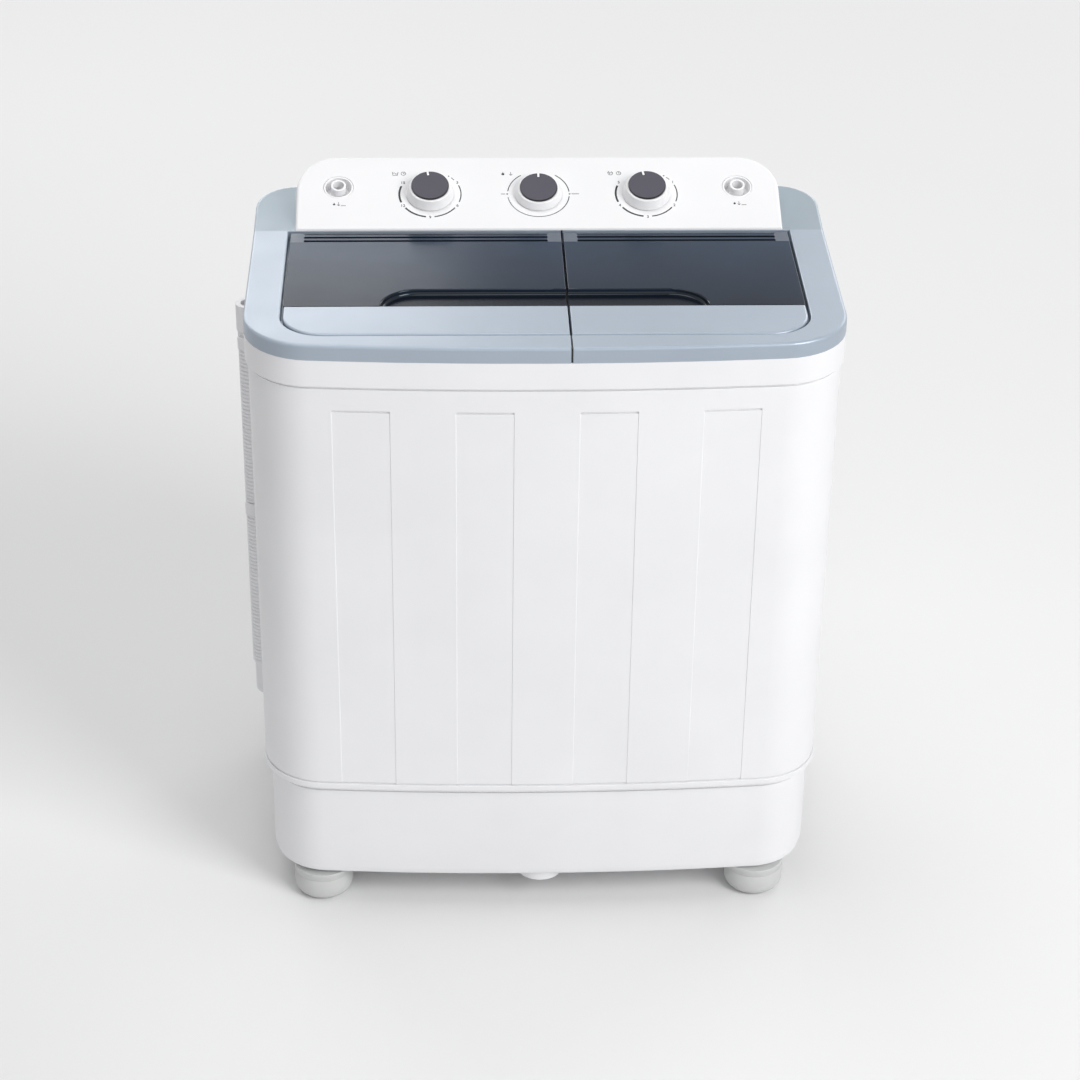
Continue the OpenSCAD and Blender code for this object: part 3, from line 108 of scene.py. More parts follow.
def makeMeshReady(piece):
    startEdit(piece)
    selectMesh()
    bpy.ops.mesh.remove_doubles(threshold=1e-6)
    bpy.ops.mesh.normals_make_consistent(inside=False)
    endEdit()
    return piece


def applyModifier(piece, kind, **settings):
    useAlone(piece)
    modifier = piece.modifiers.new(kind.lower(), kind)
    for name, value in settings.items():
        setattr(modifier, name, value)
    bpy.ops.object.modifier_apply(modifier=modifier.name)


def shadeBySharpness(piece, angle=32):
    useAlone(piece)
    bpy.ops.object.shade_smooth_by_angle(angle=math.radians(angle))


def placePiece(piece, matrix):
    useAlone(piece)
    piece.matrix_world = matrix
    bpy.ops.object.transform_apply(location=True, rotation=True, scale=True)


def nameOf(node):
    # foot_front_left gives footFrontLeft
    first, *others = node.split("_")
    return first + "".join(word.title() for word in others)


def finishPiece(piece, name, body, material, replaced=(), accents=()):
    # accents are (material, test of a face's middle and normal, in mm) for faces of another colour
    piece.name = name
    piece.data.name = name
    piece.data.materials.clear()
    for look in [material] + [accent for accent, test in accents]:
        piece.data.materials.append(materials[look])
    for polygon in piece.data.polygons:
        polygon.material_index = 0
        for i, (accent, test) in enumerate(accents):
            if test(polygon.center / mm, polygon.normal):
                polygon.material_index = i + 1
    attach(piece, body)
    if replaced:
        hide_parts(*replaced)
    return piece


# materials

materials = {}


def newMaterial(name):
    material = bpy.data.materials.new(name)
    material.use_nodes = True
    tree = material.node_tree
    shader = tree.nodes["Principled BSDF"]
    coords = tree.nodes.new("ShaderNodeTexCoord")
    materials[name] = material
    return tree, shader, coords


def addNoise(tree, coords, scale, detail=2.0, stretch=None):
    noise = tree.nodes.new("ShaderNodeTexNoise")
    noise.inputs["Scale"].default_value = scale
    noise.inputs["Detail"].default_value = detail
    if stretch:
        mapping = tree.nodes.new("ShaderNodeMapping")
        mapping.inputs["Scale"].default_value = stretch
        tree.links.new(coords.outputs["Object"], mapping.inputs["Vector"])
        tree.links.new(mapping.outputs["Vector"], noise.inputs["Vector"])
    else:
        tree.links.new(coords.outputs["Object"], noise.inputs["Vector"])
    return noise


def addRange(tree, source, low, high, fromLow=0.3, fromHigh=0.7):
    mapRange = tree.nodes.new("ShaderNodeMapRange")
    mapRange.inputs["From Min"].default_value = fromLow
    mapRange.inputs["From Max"].default_value = fromHigh
    mapRange.inputs["To Min"].default_value = low
    mapRange.inputs["To Max"].default_value = high
    tree.links.new(source, mapRange.inputs["Value"])
    return mapRange.outputs["Result"]


def linear(colour):
    return [((c + 0.055) / 1.055) ** 2.4 if c > 0.04045 else c / 12.92 for c in colour]


def colourVariation(tree, shader, source, colour, amount):
    mix = tree.nodes.new("ShaderNodeMix")
    mix.data_type = "RGBA"
    base = linear(colour)
    mix.inputs["A"].default_value = [c * (1 - amount) for c in base] + [1]
    mix.inputs["B"].default_value = [min(1, c * (1 + amount)) for c in base] + [1]
    tree.links.new(addRange(tree, source, 0.0, 1.0), mix.inputs["Factor"])
    tree.links.new(mix.outputs["Result"], shader.inputs["Base Color"])


def addBump(tree, shader, source, height):
    bump = tree.nodes.new("ShaderNodeBump")
    bump.inputs["Distance"].default_value = height
    bump.inputs["Strength"].default_value = 1.0
    tree.links.new(source, bump.inputs["Height"])
    tree.links.new(bump.outputs["Normal"], shader.inputs["Normal"])


def mouldedPlastic(name, colour, roughness, grainScale=1400, grain=0.00002, coat=0.0, variation=0.02,
                   metallic=0.0, specular=0.5):
    tree, shader, coords = newMaterial(name)
    flow = addNoise(tree, coords, 9, 3)          # slow colour drift of a big moulding
    colourVariation(tree, shader, flow.outputs["Fac"], colour, variation)
    fine = addNoise(tree, coords, grainScale, 2)
    cloud = addNoise(tree, coords, 26, 4)        # handling marks and dull spots
    tree.links.new(addRange(tree, cloud.outputs["Fac"], roughness - 0.04, roughness + 0.04),
                   shader.inputs["Roughness"])
    addBump(tree, shader, fine.outputs["Fac"], grain)
    shader.inputs["Metallic"].default_value = metallic
    shader.inputs["Coat Weight"].default_value = coat
    shader.inputs["Coat Roughness"].default_value = 0.15
    shader.inputs["Specular IOR Level"].default_value = specular


def smokedPlastic(name, colour, roughness, coat=0.4, specular=0.5, front=1.0):
    # front is how much of the colour is left at the front edge: painted shade, the lid darker towards the
    # front
    tree, shader, coords = newMaterial(name)
    haze = addNoise(tree, coords, 14, 3)
    colourVariation(tree, shader, haze.outputs["Fac"], colour, 0.10)
    axes = tree.nodes.new("ShaderNodeSeparateXYZ")
    tree.links.new(coords.outputs["Object"], axes.inputs["Vector"])
    # painted shade: the colour multiplied down towards the front edge
    paintedFrontShade = tree.nodes.new("ShaderNodeMix")
    paintedFrontShade.data_type, paintedFrontShade.blend_type = "RGBA", "MULTIPLY"
    paintedFrontShade.inputs["Factor"].default_value = 1.0
    tree.links.new(shader.inputs["Base Color"].links[0].from_socket, paintedFrontShade.inputs["A"])
    tree.links.new(addRange(tree, axes.outputs["Y"], front, 1.0, -0.085, 0.07), paintedFrontShade.inputs["B"])
    tree.links.new(paintedFrontShade.outputs["Result"], shader.inputs["Base Color"])
    wipe = addNoise(tree, coords, 24, 4, (1.0, 3.0, 1.0))       # faint wiping marks
    tree.links.new(addRange(tree, wipe.outputs["Fac"], roughness * 0.92, roughness * 1.1),
                   shader.inputs["Roughness"])
    fine = addNoise(tree, coords, 1600, 2)
    addBump(tree, shader, fine.outputs["Fac"], 0.00001)
    shader.inputs["Coat Weight"].default_value = coat
    shader.inputs["Coat Roughness"].default_value = 0.08
    shader.inputs["Specular IOR Level"].default_value = specular
    shader.inputs["Specular Tint"].default_value = (0.70, 0.85, 1.0, 1)


def brushedMetal(name, colour, roughness, stretch):
    tree, shader, coords = newMaterial(name)
    lines = addNoise(tree, coords, 300, 3, stretch)
    colourVariation(tree, shader, lines.outputs["Fac"], colour, 0.06)
    tree.links.new(addRange(tree, lines.outputs["Fac"], roughness - 0.08, roughness + 0.12),
                   shader.inputs["Roughness"])
    addBump(tree, shader, lines.outputs["Fac"], 0.00001)
    shader.inputs["Metallic"].default_value = 1.0


def castMetal(name, colour):
    tree, shader, coords = newMaterial(name)
    sand = addNoise(tree, coords, 700, 4)
    colourVariation(tree, shader, sand.outputs["Fac"], colour, 0.10)
    tree.links.new(addRange(tree, sand.outputs["Fac"], 0.45, 0.7), shader.inputs["Roughness"])
    addBump(tree, shader, sand.outputs["Fac"], 0.00012)
    shader.inputs["Metallic"].default_value = 0.9


def paintedMetal(name, colour):
    tree, shader, coords = newMaterial(name)
    peel = addNoise(tree, coords, 350, 2)        # orange peel of sprayed paint
    dust = addNoise(tree, coords, 30, 5)
    colourVariation(tree, shader, dust.outputs["Fac"], colour, 0.12)
    tree.links.new(addRange(tree, dust.outputs["Fac"], 0.35, 0.55), shader.inputs["Roughness"])
    addBump(tree, shader, peel.outputs["Fac"], 0.00003)


def softRubber(name, colour):
    tree, shader, coords = newMaterial(name)
    bloom = addNoise(tree, coords, 60, 5)
    colourVariation(tree, shader, bloom.outputs["Fac"], colour, 0.25)
    tree.links.new(addRange(tree, bloom.outputs["Fac"], 0.6, 0.8), shader.inputs["Roughness"])
    pores = addNoise(tree, coords, 1800, 2)
    addBump(tree, shader, pores.outputs["Fac"], 0.00004)


mouldedPlastic("whiteShell", (0.93, 0.93, 0.937), 0.42, coat=0.08)
mouldedPlastic("consoleWhite", (0.945, 0.945, 0.95), 0.36, coat=0.10)
mouldedPlastic("blueGrey", (0.635, 0.68, 0.73), 0.38, 2200, 0.000012, coat=0.2, variation=0.03,
               metallic=0.25)
# smoked lid with painted shade, darker towards its front edge
smokedPlastic("smokedLid", (0.18, 0.235, 0.31), 0.20, 0.0, 0.11, front=0.40)
smokedPlastic("lidBand", (0.40, 0.425, 0.465), 0.30, 0.0, 0.15)
# finger hollow and its walls: painted shade, much darker than the lid
smokedPlastic("hollowPaintedShade", (0.055, 0.08, 0.12), 0.25, 0.0, 0.1)
smokedPlastic("hollowWallPaintedShade", (0.045, 0.065, 0.095), 0.10, 0.15, 0.28)
# rear lid grooves: painted shade, near-black
smokedPlastic("groovePaintedShade", (0.05, 0.07, 0.10), 0.45, 0.0, 0.2)
# frame shoulder beside the console: painted shade, a darker blue-grey
mouldedPlastic("shoulderPaintedShade", (0.585, 0.635, 0.67), 0.42, 2200, 0.000012, coat=0.1, variation=0.03,
               metallic=0.25)
mouldedPlastic("capGrey", (0.33, 0.32, 0.36), 0.45, 1800, 0.00003, specular=0.25)
mouldedPlastic("capRim", (0.10, 0.09, 0.11), 0.35, 1800, 0.00002)
# feet: the white darkened as painted shade under the machine
mouldedPlastic("footPaintedShade", (0.80, 0.805, 0.80), 0.50, coat=0.05)
mouldedPlastic("inletWhite", (0.965, 0.965, 0.97), 0.34, coat=0.2)
mouldedPlastic("knobWhite", (0.965, 0.965, 0.97), 0.30, coat=0.2)
mouldedPlastic("printInk", (0.12, 0.12, 0.14), 0.55, 2600, 0.000008, variation=0.10)
mouldedPlastic("printGrey", (0.42, 0.42, 0.45), 0.55, 2600, 0.000008, variation=0.10)
mouldedPlastic("tubPlastic", (0.86, 0.885, 0.91), 0.38, coat=0.1)
mouldedPlastic("pulsatorBlue", (0.45, 0.62, 0.80), 0.34, coat=0.15)
mouldedPlastic("pipeGrey", (0.62, 0.63, 0.65), 0.55, 900, 0.00004)
mouldedPlastic("hosePlastic", (0.93, 0.93, 0.94), 0.48, 1200, 0.00003, variation=0.03)
mouldedPlastic("timerBlack", (0.16, 0.16, 0.17), 0.5, 900, 0.00004)
mouldedPlastic("pulleyBlack", (0.20, 0.20, 0.21), 0.5, 900, 0.00004)
mouldedPlastic("brakeLining", (0.55, 0.22, 0.16), 0.75, 500, 0.0001, variation=0.2)
mouldedPlastic("coverPlastic", (0.80, 0.81, 0.82), 0.5, 700, 0.00005)
brushedMetal("steel", (0.72, 0.73, 0.74), 0.32, (1.0, 1.0, 0.06))
castMetal("castAluminium", (0.60, 0.61, 0.62))
paintedMetal("motorPaint", (0.30, 0.33, 0.37))
softRubber("blackRubber", (0.11, 0.11, 0.115))

slotMaterials = {
    "white_shell": "whiteShell", "console_white": "consoleWhite", "blue_grey": "blueGrey",
    "smoked_plastic": "smokedLid", "dark_cap": "capGrey", "tub_plastic": "tubPlastic",
    "pulsator_plastic": "pulsatorBlue", "pipe_plastic": "pipeGrey", "hose_plastic": "hosePlastic",
    "timer_plastic": "timerBlack", "steel": "steel", "motor_paint": "motorPaint",
    "cast": "castAluminium", "pulley_plastic": "pulleyBlack", "rubber": "blackRubber",
    "brake_lining": "brakeLining", "cover_plastic": "coverPlastic",
}
nodeSlots = {part["node"]: part["material_slot"] for part in record["subparts"]}
nodeBodies = {node: body for body, nodes in record["behaviour"]["bodies"].items() for node in nodes}
for node, piece in frame["nodes"].items():
    for socket in piece.material_slots:
        socket.material = materials[slotMaterials[nodeSlots[node]]]
print("materials are made")


# drain hose, corrugated, straight up along the cabinet's left side

hoseLook = {"route": [(-0.302, 0.130, z * mm) for z in (119, 170, 230, 290, 350, 410, 470, 533)],
            "pitch": 4.6 * mm, "radius": 12.5 * mm, "groove": 1.5 * mm, "sides": 48}


def turnedShape(profile, sides=64, capStart=True, capEnd=True):
    # profile is a list of (radius, height) along the axis
    (radius, height), rest = profile[0], profile[1:]
    deselectAll()
    bpy.ops.mesh.primitive_circle_add(vertices=sides, radius=radius, location=(0, 0, height),
                                      fill_type="NGON" if capStart else "NOTHING")
    piece = bpy.context.object
    bpy.ops.object.transform_apply(location=True, rotation=False, scale=False)
    startEdit(piece)
    selectMesh()
    for nextRadius, nextHeight in rest:
        grow = nextRadius / radius
        bpy.ops.mesh.extrude_edges_move(
            TRANSFORM_OT_translate={"value": (0, 0, nextHeight - height)})
        bpy.ops.transform.resize(value=(grow, grow, 1), center_override=(0, 0, nextHeight))
        radius, height = nextRadius, nextHeight
    if capEnd:
        bpy.ops.mesh.edge_face_add()
    endEdit()
    return makeMeshReady(piece)


def addHose():
    look = hoseLook
    route, pitch, outer = look["route"], look["pitch"], look["radius"]
    inner = outer - look["groove"]
    z0, z1 = route[0][2], route[-1][2]
    ribs = round((z1 - z0) / pitch)
    pitch = (z1 - z0) / ribs
    rib = turnedShape([(inner, 0), (inner, 0.14 * pitch), (outer - 0.2 * mm, 0.30 * pitch),
                       (outer, 0.45 * pitch), (outer, 0.65 * pitch),
                       (outer - 0.2 * mm, 0.80 * pitch), (inner, 0.96 * pitch), (inner, pitch)],
                      look["sides"], False, False)
    applyModifier(rib, "ARRAY", count=ribs, use_relative_offset=False, use_constant_offset=True,
                  constant_offset_displace=(0, 0, pitch), use_merge_vertices=True,
                  merge_threshold=0.00001)
    startEdit(rib)
    bpy.ops.mesh.select_non_manifold()
    bpy.ops.mesh.edge_face_add()
    endEdit()
    placePiece(makeMeshReady(rib), Matrix.Translation(route[0]))
    shadeBySharpness(rib, 50)
    hose = finishPiece(rib, "drainHose", "machine", "hosePlastic", ["drain_hose"])


addHose()
print("drain hose is made")


# shells taken from the solids, with their edges rounded

def copyNode(node, cuts=()):
    # cuts are (x, y, z) in mm and a direction; a cut through each hole keeps flat faces simple
    source = frame["nodes"][node]
    piece = bpy.data.objects.new(node + "Copy", source.data.copy())
    bpy.context.scene.collection.objects.link(piece)
    for attribute in [a.name for a in piece.data.attributes if a.name == "custom_normal"]:
        piece.data.attributes.remove(piece.data.attributes[attribute])
    startEdit(piece)
    selectMesh()
    bpy.ops.mesh.remove_doubles(threshold=2e-6)
    for point, direction in cuts:
        cutMesh([c * mm for c in point], direction)
        bpy.ops.mesh.mark_seam()
    selectMesh()
    bpy.ops.mesh.dissolve_limited(angle_limit=math.radians(0.6), delimit={"SEAM"})
    endEdit()
    return piece


def roundEdges(piece, rules, segments=3, minAngle=25):
    # rules are (width in mm, test of an edge's two ends); the first that fits an edge sets it
    widest = max(width for width, test in rules)
    shape = bmesh.new()
    shape.from_mesh(piece.data)
    weight = shape.edges.layers.float.get("bevel_weight_edge")
    weight = weight or shape.edges.layers.float.new("bevel_weight_edge")
    for edge in shape.edges:
        edge[weight] = 0.0
        if len(edge.link_faces) != 2 or edge.calc_face_angle(0) < math.radians(minAngle):
            continue
        a, b = (vert.co / mm for vert in edge.verts)
        for width, test in rules:
            if test(a, b, edge):
                edge[weight] = width / widest
                break
    shape.to_mesh(piece.data)
    shape.free()
    applyModifier(piece, "BEVEL", width=widest * mm, segments=segments, limit_method="WEIGHT",
                  use_clamp_overlap=False, miter_outer="MITER_ARC", loop_slide=True)


def pickFaces(piece, test):
    # leaves the piece in edit mode; the test gets a face's middle, normal and corners, in mm
    startEdit(piece, "FACE")
    endEdit()
    corners = [vert.co / mm for vert in piece.data.vertices]
    for polygon in piece.data.polygons:
        polygon.select = test(polygon.center / mm, polygon.normal, [corners[i] for i in polygon.vertices])
    bpy.ops.object.mode_set(mode="EDIT")


def addGroove(piece, low, high, depth, test=lambda middle, normal, corners: True):
    # runs round the outside between two heights
    def isOuter(middle, normal, corners):
        return low < middle.z < high and abs(normal.z) < 0.95 \
            and normal.x * middle.x + normal.y * middle.y > 20 and test(middle, normal, corners)

    startEdit(piece, "FACE")
    for height in (low, high):
        cutMesh((0, 0, height * mm), (0, 0, 1))
    endEdit()
    pickFaces(piece, isOuter)
    bpy.ops.mesh.extrude_region_shrink_fatten(TRANSFORM_OT_shrink_fatten={"value": -depth * mm})
    endEdit()


def smoothShell(piece):
    shadeBySharpness(piece)
    applyModifier(piece, "WEIGHTED_NORMAL", keep_sharp=True, weight=50)


def dressPiece(piece, node, name, material, rules, segments=3, minAngle=25, grooves=(), accents=()):
    roundEdges(piece, rules, segments, minAngle)
    for groove in grooves:
        addGroove(piece, *groove)
    smoothShell(piece)
    finishPiece(piece, name, nodeBodies[node], material, [node], accents)


def dressNode(node, name, material, rules, segments=3, minAngle=25, cuts=(), accents=(), grooves=()):
    dressPiece(copyNode(node, cuts), node, name, material, rules, segments, minAngle, grooves, accents)


def boxOf(*nodes):
    boxes = [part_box(node) for node in nodes]
    low = [min(b[0][k] for b in boxes) / mm for k in range(3)]
    high = [max(b[1][k] for b in boxes) / mm for k in range(3)]
    return low, high


frameLow = boxOf("wash_top_frame", "spin_top_frame")[0]
lidLow, lidHigh = boxOf("wash_lid_strip", "spin_lid_panel", "wash_lid_panel", "spin_lid_strip")
consoleLow, consoleHigh = boxOf("console_shell")
worktopZ = lidHigh[2]
seamX = (boxOf("wash_top_frame")[1][0] + boxOf("spin_top_frame")[0][0]) / 2

topFrameLook = {"outer": 3.2, "recess": 1.4, "seam": 0.5, "foot": 0.8, "seamGap": 1.7,
                "shadeStripWidth": 2.4, "shadeStripDepth": 1.0}


def both(test):
    return lambda a, b, edge: test(a) and test(b)


def onTop(p):
    return p.z > worktopZ - 0.2


def nearSeam(p, reach):
    return abs(p.x - seamX) < reach


def inRecess(p):
    return lidLow[0] - 6 < p.x < lidHigh[0] + 6 and lidLow[1] - 6 < p.y < consoleLow[1] + 5


def underConsole(p):
    return abs(p.x) < consoleHigh[0] - 1 and p.y > consoleLow[1]


def addTopFrames():
    look = topFrameLook

    def isOuter(a, b, edge):
        middle = (a + b) / 2
        return edge.is_convex and onTop(a) and onTop(b) \
            and not inRecess(middle) and not underConsole(middle)

    def isFoot(a, b, edge):
        return edge.is_convex and max(abs(a.z - frameLow[2]), abs(b.z - frameLow[2])) < 0.1

    # shoulder faces beside the console take painted shade
    def onShoulder(middle, normal):
        return normal.z > 0.9 and normal.y < -0.04 and middle.y > consoleLow[1] - 1

    rules = [(look["seam"], both(lambda p: nearSeam(p, 1))),
             (look["recess"], both(lambda p: onTop(p) and inRecess(p))),
             (look["outer"], isOuter), (look["foot"], isFoot)]
    for node, way in (("wash_top_frame", -1), ("spin_top_frame", 1)):
        piece = copyNode(node)
        for vert in piece.data.vertices:
            if nearSeam(vert.co / mm, 1):
                vert.co.x = (seamX + way * look["seamGap"] / 2) * mm
        dressPiece(piece, node, nameOf(node), "blueGrey", rules, accents=[("shoulderPaintedShade", onShoulder)])


def addSeamShadeStrip():
    # painted shade in the seam: a dark strip of the black rubber material, a thin slice of the frame made a
    # little smaller
    look = topFrameLook
    away, wide = 1, look["shadeStripWidth"]
    piece = copyNode("wash_top_frame")
    startEdit(piece)
    cutMesh(((seamX - away) * mm, 0, 0), (1, 0, 0), clear_outer=True)
    cutMesh(((seamX - away - wide) * mm, 0, 0), (1, 0, 0), clear_inner=True)
    selectMesh()
    bpy.ops.transform.shrink_fatten(value=-look["shadeStripDepth"] * mm)
    bpy.ops.transform.translate(value=((away + wide / 2) * mm, 0, 0))
    bpy.ops.mesh.fill_holes(sides=0)
    endEdit()
    shadeBySharpness(makeMeshReady(piece))
    # the dark strip is painted shade in the seam gap
    finishPiece(piece, "seamShadeStrip", "machine", "blackRubber")


addTopFrames()
addSeamShadeStrip()

lidLook = {"edge": 0.9, "hollowRim": 1.5, "hollowFloor": 3.4, "groove": 0.2, "strip": 2.6,
           "hollowDepth": 6, "hollowRun": 37, "rearBand": 22.5, "bandEnd": 14.4}
stripBack = boxOf("wash_lid_strip")[1][1]


def addLids():
    look = lidLook
    hollowZ, hollowEnd = worktopZ - look["hollowDepth"], stripBack + look["hollowRun"] + 2
    bandStart = lidHigh[1] - look["rearBand"]

    def isHollowFloor(p):
        return abs(p.z - hollowZ) < 1 and p.y < hollowEnd

    def isHollowRim(p):
        return onTop(p) and stripBack + 2 < p.y < hollowEnd \
            and lidLow[0] + 2 < p.x < lidHigh[0] - 2 and not nearSeam(p, 3)

    def isGroove(a, b, edge):
        middle = (a + b) / 2
        return onTop(a) and onTop(b) and middle.y > bandStart \
            and lidLow[0] + 5 < middle.x < lidHigh[0] - 5 and not nearSeam(middle, 3)

    # faces in the finger hollow take painted shade
    def inHollow(middle, normal):
        return hollowZ - 1.5 < middle.z < worktopZ - 0.25 and middle.y < hollowEnd \
            and normal.z > 0.02 and not nearSeam(middle, 1.3)

    def onHollowWall(middle, normal):
        return inHollow(middle, normal) and normal.z < 0.93

    # faces in the rear grooves take painted shade
    def inGroove(middle, normal):
        return worktopZ - 1.3 < middle.z < worktopZ - 0.1 and normal.z > -0.2 \
            and bandStart < middle.y < lidHigh[1] - 0.5

    def onBandEnd(middle, normal):
        ends = (lidLow[0], seamX, lidHigh[0])
        return middle.z > worktopZ - 0.25 and normal.z > 0.5 and middle.y > bandStart \
            and min(abs(middle.x - end) for end in ends) < look["bandEnd"] + 1

    rules = [(look["hollowFloor"], lambda a, b, edge: not edge.is_convex and isHollowFloor(a)
              and isHollowFloor(b)),
             (look["hollowRim"], both(isHollowRim)), (look["groove"], isGroove),
             (look["edge"], both(onTop))]
    accents = [("hollowPaintedShade", inHollow), ("hollowWallPaintedShade", onHollowWall), ("groovePaintedShade", inGroove),
               ("lidBand", onBandEnd)]
    for node, low, high in (("wash_lid_panel", lidLow[0], seamX - 1),
                            ("spin_lid_panel", seamX + 1, lidHigh[0])):
        cuts = [((x, 0, 0), (1, 0, 0)) for x in
                (low + look["bandEnd"], (low + high) / 2, high - look["bandEnd"])]
        cuts.append(((0, bandStart, 0), (0, 1, 0)))
        dressNode(node, nameOf(node), "smokedLid", rules, cuts=cuts, accents=accents)

    def isStripFront(a, b, edge):
        middle = (a + b) / 2
        return onTop(a) and onTop(b) and middle.y < stripBack - 1 and not nearSeam(middle, 2)

    for node, name in (("wash_lid_strip", "washLidHandle"), ("spin_lid_strip", "spinLidHandle")):
        dressNode(node, name, "blueGrey", [(look["strip"], isStripFront), (look["edge"], both(onTop))])


addLids()
print("top frame and lids are dressed")


# dials sit on the sloped panel; everything on it is placed from the middle dial

dialJoints = {j["name"]: j for j in record["behaviour"]["joints"] if "_turn" in j["name"]}
inletMounts = {m["name"]: m for m in record["mounts"] if "spigot" in m["name"]}
panelPoint = Vector(dialJoints["selector_turn"]["pos_m"])
panelOut = -Vector(dialJoints["selector_turn"]["axis"]).normalized()
panelUp = panelOut.cross(Vector((1, 0, 0)))


def riseOf(place):
    return (place - panelPoint).dot(panelUp) / mm


def liftOf(place):
    return (place - panelPoint).dot(panelOut) / mm


def onPanel(x, rise, lift=0.0, clockwise=0.0):
    # x and rise in mm from the middle dial, along the panel and up its slope
    place = panelPoint + (x * Vector((1, 0, 0)) + rise * panelUp + lift * panelOut) * mm
    turn = Matrix(((1, 0, 0), panelUp, panelOut)).transposed()
    turn = turn @ Matrix.Rotation(-math.radians(clockwise), 3, "Z")
    return Matrix.Translation(place) @ turn.to_4x4()


def addBlock(low, high, edge=0.0, segments=3):
    deselectAll()
    low, high = Vector(low) * mm, Vector(high) * mm
    bpy.ops.mesh.primitive_cube_add(size=1, location=(low + high) / 2, scale=high - low)
    piece = bpy.context.object
    bpy.ops.object.transform_apply(location=True, rotation=True, scale=True)
    if edge:
        applyModifier(piece, "BEVEL", width=edge * mm, segments=segments)
    return piece


def cutWith(piece, cutter):
    applyModifier(piece, "BOOLEAN", object=cutter, operation="DIFFERENCE", solver="EXACT")
    bpy.data.objects.remove(cutter)


consoleLook = {"corner": 42, "rim": 3.6, "front": 1.2, "wall": 2.5, "shaftHole": 5.5, "inletHole": 15.5,
               "holeDepth": 8, "spareBelow": 8, "spareAbove": 20}


def addConsole():
    look = consoleLook
    # the block starts low, so that its rounded front edge has room, and is cut at the worktop
    piece = addBlock((*consoleLow[:2], consoleLow[2] - look["spareBelow"]),
                     (*consoleHigh[:2], consoleHigh[2] + look["spareAbove"]))
    roundEdges(piece, [(look["corner"], lambda a, b, edge: min(a.y, b.y) > consoleHigh[1] - 1
                        and abs(a.x - b.x) < 1)], 28)
    startEdit(piece)
    cutMesh(panelPoint, panelOut, clear_outer=True, use_fill=True)
    endEdit()

    def onSlope(p):
        return abs(liftOf(p * mm)) < 0.1

    roundEdges(piece, [(look["front"], both(lambda p: onSlope(p) and p.y < consoleLow[1] + 1)),
                       (look["rim"], both(onSlope))], 5, 15)
    startEdit(piece)
    cutMesh(Vector(consoleLow) * mm, (0, 0, 1), clear_inner=True, use_fill=True)
    endEdit()
    holes = [(Vector(j["pos_m"]), look["shaftHole"]) for j in dialJoints.values()]
    holes += [(Vector(m["pos_m"]), look["inletHole"]) for m in inletMounts.values()]
    for place, radius in holes:
        deselectAll()
        bpy.ops.mesh.primitive_cylinder_add(vertices=64, radius=radius * mm, depth=look["holeDepth"] * mm)
        cutter = bpy.context.object
        placePiece(cutter, onPanel(place.x / mm, riseOf(place)))
        cutWith(piece, cutter)

    def isOpen(middle, normal, corners):
        # the underside, and the inside of each hole
        return normal.z < -0.9 or liftOf(middle * mm) < -0.05 and any(
            (middle * mm - place).cross(panelOut).length < (radius + 0.05) * mm for place, radius in holes)

    pickFaces(piece, isOpen)
    bpy.ops.mesh.delete(type="FACE")
    endEdit()
    applyModifier(piece, "SOLIDIFY", thickness=look["wall"] * mm, offset=-1, use_even_offset=False,
                  use_quality_normals=True)
    smoothShell(piece)
    finishPiece(piece, "consoleCover", "machine", "consoleWhite", ["console_shell"])


addConsole()
print("console cover is made")


# dials: a turned skirt with a raised pointer, and a grey cap let into it

def joinPieces(pieces):
    deselectAll()
    for piece in pieces:
        piece.select_set(True)
    bpy.context.view_layer.objects.active = pieces[0]
    if len(pieces) > 1:
        bpy.ops.object.join()
    return bpy.context.object


knobLook = {"skirt": 24.5, "top": 21.0, "cap": 19.2, "capThick": 2.5, "gap": 1.0, "sides": 96,
            "pointer": (2.3, 5.8),
            "heights": {"wash_timer": 14, "selector": 11, "spin_timer": 14},
            "turned": {"wash_timer": -8, "selector": 0, "spin_timer": -12}}


def dialX(dial):
    return Vector(dialJoints[dial + "_turn"]["pos_m"]).x / mm


